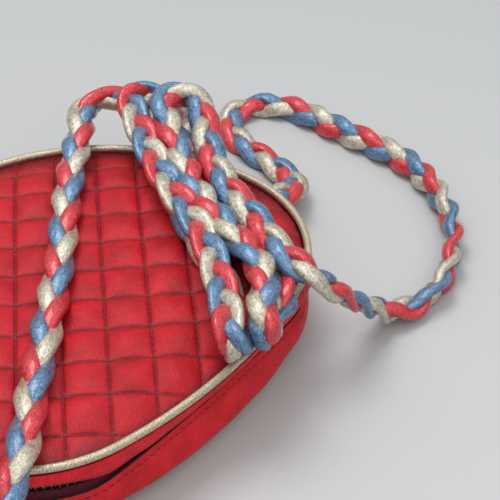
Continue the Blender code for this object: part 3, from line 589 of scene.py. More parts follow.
def new_tree(name, **kinds):
    """A geometry tree with named inputs and a Finish: the tree, its inputs' sockets and their identifiers."""
    tree = bpy.data.node_groups.new(name, 'GeometryNodeTree')
    keys = {label: tree.interface.new_socket(label, in_out='INPUT', socket_type='NodeSocket' + kind).identifier
            for label, kind in dict(kinds, Finish='Material').items()}
    tree.interface.new_socket("Result", in_out='OUTPUT', socket_type='NodeSocketGeometry')
    t = Nodes(tree)
    return t, t.node('NodeGroupInput').outputs, keys


def end_tree(t, geometry, given):
    """Realize Instances, smooth shading and Set Material, as the last nodes of a tree."""
    real = t.node('GeometryNodeRealizeInstances', {0: geometry})
    even = t.node('GeometryNodeSetShadeSmooth', {0: real.outputs[0]})
    paint = t.node('GeometryNodeSetMaterial', {0: even.outputs[0], "Material": given["Finish"]})
    t.node('NodeGroupOutput', {0: paint.outputs[0]})


def row_tree():
    """A piece set at even spacing along a path, square to it and upright on the path's own normals."""
    t, given, keys = new_tree("row_along_path", Path='Geometry', Piece='Object', Spacing='Float', Unevenness='Float',
                              Seed='Int')
    curve = t.node('GeometryNodeMeshToCurve', {0: given["Path"]})
    even = t.node('GeometryNodeResampleCurve', {"Curve": curve.outputs[0], "Length": given["Spacing"]}, mode='LENGTH')
    up = t.node('GeometryNodeInputNamedAttribute', {"Name": "up"}, data_type='FLOAT_VECTOR')
    tangent = t.node('GeometryNodeInputTangent').outputs[0]
    ahead = t.node('FunctionNodeAlignRotationToVector', {"Vector": tangent}, axis='X')
    upright = t.node('FunctionNodeAlignRotationToVector', {"Rotation": ahead.outputs[0],
                                                           "Vector": up.outputs["Attribute"]}, axis='Z', pivot_axis='X')
    piece = t.node('GeometryNodeObjectInfo', {"Object": given["Piece"]})
    low, high = (t.node('ShaderNodeMath', {0: 1.0, 1: given["Unevenness"]}, operation=kind).outputs[0]
                 for kind in ('SUBTRACT', 'ADD'))
    scale = t.node('FunctionNodeRandomValue', {"Min": low, "Max": high, "Seed": given["Seed"]},
                   data_type='FLOAT_VECTOR')
    put = t.node('GeometryNodeInstanceOnPoints', {"Points": even.outputs[0], "Instance": piece.outputs["Geometry"],
                                                  "Rotation": upright.outputs[0], "Scale": scale.outputs[0]})
    end_tree(t, put.outputs[0], given)
    return t.tree, keys


def cord_tree():
    """A round cord along a closed path, with a slow swelling of its radius."""
    t, given, keys = new_tree("cord_along_path", Path='Geometry', Radius='Float', Sides='Int', Swell='Float')
    curve = t.node('GeometryNodeMeshToCurve', {0: given["Path"]})
    ring = t.node('GeometryNodeCurvePrimitiveCircle', {"Resolution": given["Sides"], "Radius": given["Radius"]})
    wave = t.node('ShaderNodeTexNoise', {"Scale": 240.0})
    thick = t.node('ShaderNodeMath', {0: wave.outputs["Fac"], 1: given["Swell"], 2: 1.0}, operation='MULTIPLY_ADD')
    width = t.node('GeometryNodeSetCurveRadius', {"Curve": curve.outputs[0], "Radius": thick.outputs[0]})
    tube = t.node('GeometryNodeCurveToMesh', {"Curve": width.outputs[0], "Profile Curve": ring.outputs[0]})
    if "Scale" in tube.inputs:
        t.feed(tube.inputs["Scale"], t.node('GeometryNodeInputRadius').outputs[0])
    end_tree(t, tube.outputs[0], given)
    return t.tree, keys


ROW, CORD = row_tree(), cord_tree()


def guide_mesh(name, paths, closed=False):
    """A mesh of bare edges through paths of (point, up) pairs, with each point's up kept as an attribute."""
    verts, edges, ups = [], [], []
    for path in paths:
        first = len(verts)
        verts += [tuple(point) for point, _ in path]
        ups += [tuple(up) for _, up in path]
        edges += [(first + k, first + k + 1) for k in range(len(path) - 1)]
        if closed:
            edges.append((len(verts) - 1, first))
    mesh = bpy.data.meshes.new(name)
    mesh.from_pydata(verts, edges, [])
    mesh.attributes.new("up", 'FLOAT_VECTOR', 'POINT').data.foreach_set("vector", np.array(ups, float).ravel())
    return mesh


def grown(name, guide, tree_and_keys, **inputs):
    """The plain mesh that a tree makes from a guide, with the tree's inputs set by their identifiers."""
    tree, keys = tree_and_keys
    holder = in_scene(name, guide)
    modifier = holder.modifiers.new("grow", 'NODES')
    modifier.node_group = tree
    for label, value in inputs.items():
        modifier[keys[label]] = value
    return resolved(holder)


def row_of(name, paths, piece_mesh, spacing, finish, unevenness=0.05, seed=7, closed=False):
    """Copies of one small piece along paths, as one mesh."""
    piece = in_scene(name + "_one", piece_mesh)
    mesh = grown(name, guide_mesh(name, paths, closed), ROW, Piece=piece, Spacing=spacing, Unevenness=unevenness,
                 Seed=seed, Finish=finish)
    bpy.data.objects.remove(piece, do_unlink=True)
    return mesh


def stitch_mesh(length, thick, sunk):
    """One stitch: a short strand of thread whose two ends dive into their holes."""
    rows = []
    for t in spread(-1.0, 1.0, 7):
        x, drop, r = t * length / 2, -sunk * abs(t) ** 3, thick / 2 * (1 - 0.35 * abs(t) ** 4)
        rows.append([(x, r * math.cos(a), drop + r * math.sin(a)) for a in angles(6)])
    return skin("stitch", rows)


# Quilted front

def outline_fit(x, y):
    """Distance from the centre of the outline as a share of the rim's."""
    y = y - WIDEST_Y
    drop, power = np.where(y > 0, ZIP_RISE, FOOT_DROP), np.where(y > 0, 2.5, 2.0)
    return (np.abs(x / HALF_WIDTH) ** power + np.abs(y / drop) ** power) ** (1 / power)


def depth_in(x, y):
    """How far a place lies inside the outline."""
    return (1 - outline_fit(x, y)) * ZIP_RISE


def smooth_all(t):
    t = np.clip(t, 0, 1)
    return t * t * (3 - 2 * t)


def quilt_marks_at(x, y):
    """A place told in channels of each family, counted from the crossing on the zip edge."""
    return (x - QUILT_NODE_X + (y - ZIP_Y)) / QUILT_WIDTH, (x - QUILT_NODE_X - (y - ZIP_Y)) / QUILT_WIDTH


def quilt_place(p, q):
    return QUILT_NODE_X + (p + q) / 2 * QUILT_WIDTH, ZIP_Y + (p - q) / 2 * QUILT_WIDTH


def quilt_height(x, y):
    """Height of the quilted face: a low crown, puffs between the channels, gathers beside the stitching."""
    inside = depth_in(x, y)
    p, q = quilt_marks_at(x, y)
    row, column = np.floor(p), np.floor(q)
    a, b = np.abs(np.sin(np.pi * p)), np.abs(np.sin(np.pi * q))
    fill = 0.5 + 0.5 * np.sin(row * 12.9898 + column * 78.233) * np.cos(row * 3.7 - column * 5.1)
    puff = (a * b) ** (0.44 + 0.08 * fill) * (0.90 + 0.14 * fill)
    near_p, near_q = np.exp(-(a / GATHER_REACH) ** 2), np.exp(-(b / GATHER_REACH) ** 2)
    stitches = QUILT_WIDTH * QUILT_SLANT / STITCH_STEP
    gather = (near_p * np.sin(2 * np.pi * q * stitches + 1.3 * np.sin(9 * q)) * b
              + near_q * np.sin(2 * np.pi * p * stitches + 1.3 * np.sin(8 * p)) * a)
    soft = np.sin(x * 310 + 1.1) * np.sin(y * 270 + 0.4) + 0.6 * np.sin(x * 730 - y * 510)
    edge = 0.35 + 0.65 * smooth_all(inside / 0.010)
    return (PANEL_EDGE_Z + CROWN * smooth_all(inside / CROWN_MARGIN)
            + edge * (QUILT_PUFF * puff + GATHER_DEPTH * gather * (1 - 0.3 * puff) + SOFT_DEPTH * soft * puff))


def quilted_sheet():
    """The padded face as a sheet a little larger than the outline, its points close together beside each channel."""
    t = np.arange(QUILT_STEPS) / QUILT_STEPS
    t = t - 0.62 * np.sin(2 * np.pi * t) / (2 * np.pi)
    marks = np.concatenate([k + t for k in range(-QUILT_MARKS, QUILT_MARKS)] + [[float(QUILT_MARKS)]])
    x, y = quilt_place(*np.meshgrid(marks, marks, indexing="ij"))
    near = outline_fit(x, y) < 1.12
    whole = near[:-1, :-1] & near[1:, :-1] & near[1:, 1:] & near[:-1, 1:]
    used = np.zeros(x.shape, bool)
    for di in (0, 1):
        for dj in (0, 1):
            used[di:di + whole.shape[0], dj:dj + whole.shape[1]] |= whole
    index = -np.ones(x.shape, int)
    index[used] = np.arange(used.sum())
    i, j = np.nonzero(whole)
    faces = np.stack([index[i, j], index[i + 1, j], index[i + 1, j + 1], index[i, j + 1]], 1)
    sheet = bmesh.new()
    made = [sheet.verts.new(v) for v in np.stack([x[used], y[used], quilt_height(x[used], y[used])], 1).tolist()]
    for face in faces.tolist():
        sheet.faces.new([made[k] for k in face])
    return sheet


def trim_to_outline(sheet):
    """Cuts the sheet by upright planes along the rim, a little inside the piping."""
    outline = [place(s, -PANEL_INSET, 0.0) for s in around_rim(TRIM_SIDES)]
    for a, b in zip(outline, outline[1:] + outline[:1]):
        side, middle = Vector((b.y - a.y, a.x - b.x, 0)).normalized(), (a + b) / 2
        if side.dot(middle - Vector((0, WIDEST_Y, 0))) < 0:
            side = -side
        geom = set()
        for f in sheet.faces:
            away = f.calc_center_median() - middle
            if side.dot(away) > -0.004 and away.xy.length < 0.020:
                geom.update([f], f.verts, f.edges)
        bmesh.ops.bisect_plane(sheet, geom=list(geom), plane_co=middle, plane_no=side, clear_outer=True)


def make_quilted_front():
    """Padded slab whose grid follows the quilting, with the sewn channels pressed in, and painted shade marked along
    the channels and at the edge tucked under the piping.
    """
    slab = quilted_sheet()
    trim_to_outline(slab)
    skirt = bmesh.ops.extrude_edge_only(slab, edges=[e for e in slab.edges if e.is_boundary])
    for v in skirt["geom"]:
        if isinstance(v, bmesh.types.BMVert):
            v.co.z = PANEL_UNDER_Z
    bmesh.ops.holes_fill(slab, edges=[e for e in slab.edges if e.is_boundary], sides=0)
    mesh = bpy.data.meshes.new("quilted_front")
    slab.to_mesh(mesh)
    slab.free()
    turn_outwards(mesh)
    spots = np.zeros(len(mesh.vertices) * 3)
    mesh.vertices.foreach_get("co", spots)
    x, y = spots.reshape(-1, 3)[:, 0], spots.reshape(-1, 3)[:, 1]
    p, q = quilt_marks_at(x, y)
    to_channel = np.minimum(np.abs(p - np.round(p)), np.abs(q - np.round(q))) * QUILT_WIDTH * QUILT_SLANT
    to_rim = np.maximum(depth_in(x, y) - PANEL_INSET, 0)
    # Painted shade: the shade number is high along the sewn channels and at the edge tucked under the piping, where the
    # finish darkens the colour.
    add_shade(mesh, np.maximum(0.62 * np.exp(-(to_channel / 0.0008) ** 2), 0.88 * np.exp(-(to_rim / 0.0032) ** 2)))
    return mesh


def channel_paths():
    """Lines of stitching in the channels, inside the outline."""
    paths, along = [], np.arange(-12.0, 12.0, 0.04)
    for family in (0, 1):
        for k in range(-12, 13):
            x, y = quilt_place(*((k, along) if family == 0 else (along, k)))
            spots = np.stack([x, y, quilt_height(x, y) + 0.00022], 1)[outline_fit(x, y) < 0.955]
            if len(spots) > 12:
                paths.append([(spot, (0, 0, 1)) for spot in spots])
    return paths


# Strips of the gusset

def strip(name, stations, outer_at, finishes, replaced, slack=0.0, shade=None, edge_faces=False):
    """A leather strip along the rim: an outer run of section points at each station, and its inner face."""
    rows, shades = [], []
    for s in stations:
        outer = outer_at(s)
        ring = outer + inner_face(outer, slack)[::-1]
        rows.append(placed(s, ring))
        if shade:
            shades.append([shade(k / (len(outer) - 1)) if k < len(outer) else 0.0 for k in range(len(ring))])
    number = np.zeros(len(rows[0]), int)
    if edge_faces:
        number[[0, -1]] = 1
    mesh = skin(name, rows, number=number, shade=shades if shade else None)
    add_piece(name, mesh, finishes, (replaced,), smooth_angle=52)


def front_gusset_run(s):
    """Inner half of the zip gusset: pleated where it is gathered under the piping, folded at the lip."""
    lip, normal, step = upper_lip(s), wall_normal(s), down_the_wall(s)
    ends = smooth((SEAM_S - abs(s)) / 0.02)
    puff = ends * (1 - dip(s))
    middle = GUSSET_TOP.lerp(lip, 0.40) + normal * (INNER_PROUD + INNER_PUFF * puff)
    rolled = lip - step * LIP_ROLL + normal * 0.0003 * puff
    run = curve_through([GUSSET_TOP, middle, rolled, lip - normal * LIP_TURNED_IN * ends], 7)
    pleat, slack = ripple(s, 1.0, PLEAT_STEP), ripple(s, 4.0, 0.023)
    out = []
    for k, p in enumerate(run):
        t = k / (len(run) - 1)
        gathered = math.exp(-(t / 0.34) ** 2) * min(1.0, t * 9)
        out.append(p + normal * (PLEAT_DEPTH * pleat * gathered + INNER_SLACK * slack * math.sin(math.pi * t)))
    return out


def back_gusset_run(s):
    """Outer half: cut lip, stitched line with puckers, a full round bulge, tucked under at the back piping."""
    lip, bulge, under = lower_lip(s), section_place(BULGE, s), section_place(UNDER, s)
    ends = smooth((SEAM_S - abs(s)) / 0.03)
    run = curve_through([lip, lip.lerp(bulge, 0.36) + SHOULDER_PROUD * ends, bulge + BULGE_PROUD * ends,
                         under + UNDER_PROUD * ends, gusset_foot(s)], 10)
    pucker = math.sin(2 * math.pi * s / STITCH_STEP + 1.2 * math.sin(s * 90))
    slack, fold = ripple(s, 2.0, 0.031), ripple(s, 6.0, 0.0090)
    out, travelled = [], 0.0
    for k, p in enumerate(run):
        if k:
            travelled += (p - run[k - 1]).length
        t = k / (len(run) - 1)
        normal = square_to(run[min(k + 1, len(run) - 1)] - run[max(k - 1, 0)])
        seam = math.exp(-((travelled - STITCH_IN) / SEAM_HALF_WIDTH) ** 2)
        beside = math.exp(-((travelled - STITCH_IN - 0.0008) / 0.0012) ** 2)
        body, tucked = math.sin(math.pi * t), smooth((t - 0.62) / 0.3)
        out.append(p + normal * (-SEAM_SUNK * seam + PUCKER_HEIGHT * pucker * beside + OUTER_SLACK * slack * body
                                 + TUCK_FOLDS * fold * tucked * body))
    clear = smooth((SLANT_ENDS - s) / 0.012) * smooth((SEAM_S - abs(s)) / 0.01)
    return [out[0] + EDGE_SLANT * clear + EDGE_STEP] + out


def stitch_line(s):
    """Place and outward direction of the stitching on the outer half of the zip gusset."""
    run = back_gusset_run(s)
    travelled = -(run[1] - run[0]).length
    for a, b in zip(run, run[1:]):
        piece = (b - a).length
        if travelled + piece >= STITCH_IN:
            break
        travelled += piece
    normal = square_to(b - a)
    p = a.lerp(b, (STITCH_IN - travelled) / piece) + normal * STITCH_RISE
    return place(s, p.x, p.y), outward(s, normal)


def foot_gusset_run(s):
    """One strip from piping to piping round the foot of the bag, bulging at mid height, softly creased."""
    foot = gusset_foot(s)
    past = smooth((abs(s) - END_S) / 0.030)
    swell = Vector((FOOT_BULGE * (0.25 + 0.75 * past), 0))
    run = curve_through([GUSSET_TOP, GUSSET_TOP.lerp(foot, 0.30) + swell, GUSSET_TOP.lerp(foot, 0.70) + swell, foot], 9)
    slack, fold, pleat = ripple(s, 3.0, 0.034), ripple(s, 8.0, 0.012), ripple(s, 5.0, 0.0045)
    out = []
    for k, p in enumerate(run):
        t = k / (len(run) - 1)
        body = math.sin(math.pi * t) * past
        ends = (math.exp(-(t / 0.14) ** 2) + math.exp(-((1 - t) / 0.14) ** 2)) * min(1.0, t * 14, (1 - t) * 14)
        out.append(p + Vector((FOOT_SLACK * slack * body + FOOT_FOLDS * (fold * body + pleat * ends), 0)))
    return out


def rim_loop(out_at, z):
    """A closed path round the rim."""
    return [(place(s, out_at(s), z), (0, 0, 1)) for s in around_rim(420)]


def make_pipings(finish):
    for name, node, out_at, z in (("front_piping_cord", "front_piping", lambda s: 0.0, FRONT_PIPING_Z),
                                  ("back_piping_cord", "back_piping", back_out, BACK_PIPING_Z)):
        mesh = grown(name, guide_mesh(name, [rim_loop(out_at, z)], True), CORD, Sides=20, Swell=0.03, Finish=finish,
                     Radius=PIPING_RADIUS * PIPING_CORD_SHARE)
        turn_outwards(mesh)
        add_piece(name, mesh, [finish], (node,))


def make_gussets(red, lip_red, edge, thread):
    along_zip, start = spread(-SEAM_S, SEAM_S, 640), SEAM_S + GAP
    # On the inner strip the shade number rises towards the folded lip, where lip_red turns paler: a painted highlight
    # along the fold.
    strip("inner_zip_gusset", along_zip, front_gusset_run, [lip_red, edge], "front_zip_gusset",
          shade=lambda t: smooth((t - 0.72) / 0.22))
    strip("outer_zip_gusset", along_zip, back_gusset_run, [red, edge], "back_zip_gusset", slack=0.001, edge_faces=True)
    around = [s if s <= HALF_RUN else s - 2 * HALF_RUN for s in spread(start, 2 * HALF_RUN - start, 560)]
    strip("foot_gusset_band", around, foot_gusset_run, [red, edge], "foot_gusset")
    line = [stitch_line(s) for s in spread(-SEAM_S + 0.002, SEAM_S - 0.002, 300)]
    mesh = row_of("zip_edge_stitching", [line], stitch_mesh(0.0021, 0.00036, 0.00024), STITCH_STEP, thread)
    add_piece("zip_edge_stitching", mesh, [thread])


# Zip

def tape_run(near, far):
    """The closed section of a tape between two points."""
    half = square_to(far - near) * TAPE_THICK / 2
    return [near.lerp(far, k / 4) + half for k in range(5)] + [far.lerp(near, k / 4) - half for k in range(5)]


def front_tape_ring(s):
    step = down_the_wall(s)
    near = chain_centre(s) - step * (TOOTH_REACH + GAP)
    far = (lower_lip(s) - step * max(CHAIN_RISE + TOOTH_REACH + GAP + FRONT_TAPE_WIDTH, slit_width(s) + 0.0016)
           - wall_normal(s) * (LEATHER + GAP + TAPE_THICK / 2))
    return tape_run(near, far)


def back_tape_ring(s):
    lip = lower_lip(s)
    step = (section_place(BULGE, s) - lip).normalized()
    near = chain_centre(s) + down_the_wall(s) * (TOOTH_REACH + GAP)
    return tape_run(near, lip + step * BACK_TAPE_REACH - square_to(step) * (LEATHER + GAP + TAPE_THICK / 2))


def tooth_mesh(side):
    """One metal tooth: a jaw that grips the tape's cord, a neck, and a rounded head that meshes with its neighbours."""
    profile = ((-0.0030, 0.00052, 0.00060), (-0.0022, 0.00058, 0.00070), (-0.0008, 0.00050, 0.00066),
               (0.0000, 0.00044, 0.00058), (0.0006, 0.00052, 0.00062), (0.0010, 0.00030, 0.00040))
    corners = ((-1, -0.6), (-0.6, -1), (0.6, -1), (1, -0.6), (1, 0.6), (0.6, 1), (-0.6, 1), (-1, 0.6))
    return skin("tooth", [[(side * half_x * u, side * y, half_z * v) for u, v in corners]
                          for y, half_x, half_z in profile])


def joined(name, meshes):
    """Several meshes as one."""
    work = bmesh.new()
    for mesh in meshes:
        work.from_mesh(mesh)
    whole = bpy.data.meshes.new(name)
    work.to_mesh(whole)
    work.free()
    return whole


def make_zip(tape, brass):
    for name, ring_at, node in (("front_woven_tape", front_tape_ring, "front_zip_tape"),
                                ("back_woven_tape", back_tape_ring, "back_zip_tape")):
        rows = [placed(s, ring_at(s)) for s in spread(0.004 - SEAM_S, SEAM_S - 0.004, 200)]
        add_piece(name, skin(name, rows), [tape], (node,), smooth_angle=50)
    start = ZIP_RIGHT_CLEAR - END_S + TOOTH_TO_STOP
    end = END_S - ZIP_LEFT_CLEAR - STOP_LENGTH - TOOTH_TO_STOP
    halves = []
    for side, shift in ((1, 0.0), (-1, TOOTH_PITCH / 2)):
        path = []
        for s in spread(start + shift, end - TOOTH_PITCH / 2 + shift, 260):
            p = chain_centre(s)
            path.append((place(s, p.x, p.y), outward(s, wall_normal(s))))
        halves.append(row_of("teeth", [path], tooth_mesh(side), TOOTH_PITCH, brass, 0.02))
    chain = joined("zip_chain_teeth", halves)
    add_piece("zip_chain_teeth", chain, [brass], ("zip_teeth",), smooth_angle=35)
    for name, node, width, segments, finish, slot, body in (
            ("zip_top_stop_rounded", "zip_top_stop", 0.0003, 3, brass, "pale_brass", "bag"),
            ("zip_bottom_stop_rounded", "zip_bottom_stop", 0.0003, 3, brass, "pale_brass", "bag"),
            ("zip_end_patch_woven", "zip_end_patch", 0.0002, 2, tape, "wine_fabric", "bag"),
            ("slider_rounded", "zip_slider", 0.00028, 3, brass, "pale_brass", "slider"),
            ("puller_rounded", "zip_puller", 0.00030, 3, brass, "pale_brass", "puller")):
        add_piece(name, softened_solid(node, width, segments), [finish], (node,), body, 35)


# Back, linings, tabs and rivets

def make_back(red, lining):
    """Plain back panel, softly rolled at its edge, and the two linings."""
    edge_at = [(s, back_out(s) - PIPING_RADIUS - GAP) for s in around_rim(360)]
    profile = ((0.024, BACK_PANEL_TOP), (0.006, BACK_PANEL_TOP), (0.0004, BACK_PANEL_TOP), (0.0, 0.0024), (0.0, 0.0014),
               (0.0004, 0.0007), (0.0014, 0.0002), (0.004, 0.0), (0.010, 0.0), (0.024, 0.0))
    mesh = skin("plain_back", [[place(s, edge - inset, z) for s, edge in edge_at] for inset, z in profile])
    add_piece("plain_back", mesh, [red], ("back_panel",), smooth_angle=60)
    for node in ("front_lining", "back_lining"):
        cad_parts[node].data.materials.clear()
        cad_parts[node].data.materials.append(lining)


def make_tab(side, name, red, thread, brass):
    """Leather tab over the end seam, with its sleeve round the strap, a row of stitches and two rivets."""
    node = name + "_tab"
    add_piece(name + "_strap_tab", softened_solid(node, 0.00055, 3, 30), [red], (node,), smooth_angle=50)
    middle, face = side * END_S, TAB_FACE_OUT + TAB_THICK
    half = TAB_LENGTH / 2 - TAB_STITCH_INSET
    low, high = TAB_FOOT_Z + TAB_STITCH_INSET, TAB_HEAD_Z - TAB_STITCH_INSET
    corners = [(-half, low), (half, low), (half, high), (-half, high)]
    path = []
    for (a, z0), (b, z1) in zip(corners, corners[1:] + corners[:1]):
        for k in range(24):
            s, z = middle + a + (b - a) * k / 24, z0 + (z1 - z0) * k / 24
            path.append((place(s, face + 0.00010, z), outward(s, Vector((1, 0)))))
    mesh = row_of(name + "_tab_stitching", [path], stitch_mesh(0.0021, 0.00050, 0.00028), 0.0029, thread, closed=True)
    add_piece(name + "_tab_stitching", mesh, [thread])
    head = ((0.0, 0.94), (0.00022, 1.0), (0.00045, 0.97), (0.00052, 0.84), (0.00060, 0.80), (0.00082, 0.66),
            (0.00096, 0.42), (0.00102, 0.12))
    for part, z in (("upper", SLEEVE_Z + RIVET_REACH), ("lower", SLEEVE_Z - RIVET_REACH)):
        node, foot = name + "_" + part + "_rivet", place(middle, face + GAP, z)
        rows = [[foot + Vector((side * rise, math.cos(a) * share * RIVET_RADIUS, math.sin(a) * share * RIVET_RADIUS))
                 for a in angles(32)] for rise, share in head]
        add_piece(node + "_head", skin(node, rows), [brass], (node,), smooth_angle=40)


# Strap

# Stretches of the strap's middle line, from the left tab to the right tab. Each has the way that its
# flat face looks, 1 up or -1 down, and its points in tenths of a millimetre. A point whose face looks another way has
# that direction after its place, in hundredths.
STRAP_ROUTE = (
    (1, (
        (1053, 170, 195), (1130, 173, 176), (1215, 205, 118), (1290, 285, 60), (1325, 400, 46), (1305, 515, 70),
        (1240, 600, 135), (1150, 645, 240), (1055, 655, 350), (970, 642, 423), (880, 600, 464), (716, 503, 469),
        (540, 368, 469), (346, 232, 469), (136, 80, 469), (-91, -96, 469), (-398, -344, 469), (-676, -545, 469),
        (-700, -565, 469), (-760, -613, 469, -22, 56, 80), (-837, -617, 469, 23, 91, 35),
        (-909, -568, 469, 78, 57, 25), (-934, -496, 469, 80, 1, 60), (-912, -422, 469), (-827, -287, 469),
        (-702, -129, 469), (-530, 116, 469), (-383, 379, 469), (-242, 598, 469), (-146, 713, 462), (-59, 790, 452),
        (-27, 808, 466, -36, -53, 77), (-4, 818, 510, -56, -83, 0), (-6, 794, 554, -36, -53, -77),
    )),
    (-1, (
        (-26, 764, 566), (-92, 712, 558), (-196, 600, 546), (-286, 492, 545), (-399, 332, 545), (-543, 34, 545),
        (-689, -199, 545), (-773, -323, 549), (-833, -403, 553), (-879, -440, 551, 22, -56, -80),
        (-937, -443, 535, -23, -91, -35), (-992, -406, 506, -78, -57, -25), (-1011, -350, 482, -80, -1, -60),
        (-994, -294, 469), (-922, -186, 469), (-810, -57, 469), (-642, 192, 469), (-511, 441, 469), (-443, 612, 469),
        (-403, 712, 466), (-347, 764, 460), (-268, 783, 457), (-189, 802, 454), (-162, 821, 452),
        (-150, 862, 466, 36, 53, -77), (-128, 872, 510, 56, 83, 0), (-130, 848, 554, 36, 53, 77),
    )),
    (1, (
        (-150, 816, 568), (-228, 770, 568), (-304, 712, 559), (-382, 622, 552), (-444, 473, 550), (-509, 309, 550),
        (-568, 167, 550), (-692, -16, 550), (-790, -155, 560), (-853, -245, 586), (-891, -276, 596, -22, 56, 80),
        (-941, -279, 598, 23, 91, 35), (-988, -247, 591, 78, 57, 25), (-1004, -200, 579, 80, 1, 60),
        (-989, -153, 566), (-900, -56, 544), (-783, 70, 532), (-680, 234, 532), (-623, 368, 532), (-582, 464, 534),
        (-521, 579, 536), (-488, 689, 534), (-480, 774, 522), (-500, 823, 486), (-560, 851, 410), (-641, 857, 320),
        (-736, 855, 220), (-838, 860, 125), (-927, 884, 66), (-996, 915, 48, 10, -30, 95),
        (-1062, 938, 49, 25, -80, 55), (-1134, 948, 52, 35, -92, 15), (-1208, 937, 54, 50, -87, 5),
        (-1322, 893, 55, 65, -75, 5), (-1470, 811, 55, 86, -51, 5), (-1608, 675, 55, 96, -25, 12),
        (-1703, 525, 54, 95, -5, 30), (-1764, 367, 52, 86, 10, 50), (-1778, 205, 51, 81, 20, 55),
        (-1777, 34, 51, 78, 20, 59), (-1783, -119, 51, 74, 20, 64), (-1787, -255, 50, 57, 29, 77),
        (-1745, -390, 46, 19, 19, 96), (-1650, -475, 44), (-1525, -450, 43), (-1445, -330, 43), (-1415, -170, 43),
        (-1385, -30, 46), (-1330, 75, 70), (-1245, 140, 118), (-1155, 166, 166), (-1055, 170, 195),
    )),
)


def strap_line():
    """The strap's middle line at even steps, with the direction its face looks, both smoothed."""
    knots = np.array([[v / 10000 for v in point[:3]] + [v / 100 for v in point[3:] or (0, 0, 100 * look)]
                      for look, points in STRAP_ROUTE for point in points])
    ends = np.vstack([2 * knots[0] - knots[1], knots, 2 * knots[-1] - knots[-2]])
    run = []
    for k in range(1, len(ends) - 2):
        p = ends[k - 1:k + 3]
        gaps = [max(np.linalg.norm(p[i + 1, :3] - p[i, :3]), 1e-7) ** 0.5 for i in range(3)]
        t = np.concatenate([[0.0], np.cumsum(gaps)])
        for u in np.linspace(t[1], t[2], 13)[:-1]:
            a = [((t[i + 1] - u) * p[i] + (u - t[i]) * p[i + 1]) / (t[i + 1] - t[i]) for i in range(3)]
            b = [((t[i + 2] - u) * a[i] + (u - t[i]) * a[i + 1]) / (t[i + 2] - t[i]) for i in range(2)]
            run.append(((t[2] - u) * b[0] + (u - t[1]) * b[1]) / (t[2] - t[1]))
    line = even_steps(np.array(run + [knots[-1]]))
    reach = int(round(ROUTE_SOFTNESS / BRAID_STEP))
    weights = np.exp(-0.5 * (np.arange(-3 * reach, 3 * reach + 1) / reach) ** 2)
    weights /= weights.sum()
    padded = np.pad(line, ((3 * reach, 3 * reach), (0, 0)), mode="edge")
    return even_steps(np.stack([np.convolve(column, weights, mode="valid") for column in padded.T], 1))


def length_along(points):
    return np.concatenate([[0.0], np.cumsum(np.linalg.norm(np.diff(points, axis=0), axis=1))])


def even_steps(line):
    run = length_along(line[:, :3])
    marks = np.linspace(0.0, run[-1], int(run[-1] / BRAID_STEP) + 1)
    return np.stack([np.interp(marks, run, column) for column in line.T], 1)


def unit(v):
    return v / np.linalg.norm(v, axis=1, keepdims=True)


def square(v, way):
    """Directions v made square to the directions of way."""
    return unit(v - way * np.sum(v * way, axis=1, keepdims=True))


def cord_rows(number, turn, run, centre, face, pinch):
    """Rings of one rolled cord of the plait, tilted as it passes over and under the other two."""
    way = unit(np.gradient(centre, axis=0))
    up = square(face, way)
    wide = np.cross(up, way)
    cos_tilt, sin_tilt = np.cos(CORD_TILT * np.sin(turn))[:, None], np.sin(CORD_TILT * np.sin(turn))[:, None]
    out, top = wide * cos_tilt - up * sin_tilt, wide * sin_tilt + up * cos_tilt
    full = 1.0 + CORD_SWELL * np.sin(2 * turn + 0.6) + CORD_UNEVEN * np.sin(run * 610 + number)
    rows = []
    for a in angles(CORD_SIDES):
        c, s = (np.sign(v) * abs(v) ** CORD_SQUARE for v in (np.cos(a), np.sin(a)))
        notch = 1.0 - 0.10 * np.exp(-((a - 4.5 - 0.25 * np.sin(run * 37 + number * 2)) / 0.30) ** 2)
        size = (full * notch)[:, None]
        rows.append(centre + out * (c * CORD_WIDTH / 2) * size * (0.4 + 0.6 * pinch)
                    + top * (s * CORD_HEIGHT / 2) * size)
    return np.stack(rows, 1)


def make_strap(leather):
    """Three rolled leather cords plaited flat along the strap's line: red, champagne and blue."""
    line = strap_line()
    middle = line[:, :3]
    ahead = unit(np.gradient(middle, axis=0))
    face = square(line[:, 3:], ahead)
    side = np.cross(face, ahead)
    half_height = np.hypot(side[:, 2] * (WEAVE_OUT + CORD_WIDTH / 2), face[:, 2] * (WEAVE_UP + CORD_HEIGHT / 2))
    middle[:, 2] = np.maximum(middle[:, 2], half_height)
    run = length_along(middle)
    pinch = 1 - FOLD_PINCH * (middle[:, 2] > FOLD_ABOVE) * np.clip(1.15 - 1.25 * np.abs(face[:, 2]), 0, 1)
    pinch = np.convolve(np.pad(pinch, 8, mode="edge"), np.ones(17) / 17, mode="valid")[:, None]
    phase = 2 * np.pi * np.interp(run, *zip(*BRAID_TURNS))
    meshes = []
    for number in range(3):
        turn = phase + 2 * np.pi * number / 3
        centre = (middle + side * (WEAVE_OUT * np.sin(turn))[:, None] * pinch
                  + face * (WEAVE_UP * np.sin(2 * turn))[:, None])
        uv = np.zeros((len(run), CORD_SIDES + 1, 2))
        uv[:, :, 0] = run[:, None]
        uv[:, :, 1] = number + np.linspace(0.02, 0.98, CORD_SIDES + 1)[None, :]
        meshes.append(skin("strap_cord", cord_rows(number, turn, run, centre, face, pinch), uv=uv))
    strap = add_piece("plaited_strap", joined("plaited_strap", meshes), [leather],
                      ("strap_left_run", "strap_right_run", "strap_hank"))


# Floor, light and camera

def aimed(name, data, spot, target):
    """A lamp or camera at a spot, looking at a target."""
    made = in_scene(name, data)
    made.location = spot
    made.rotation_euler = (Vector(target) - made.location).to_track_quat('-Z', 'Y').to_euler()
    return made


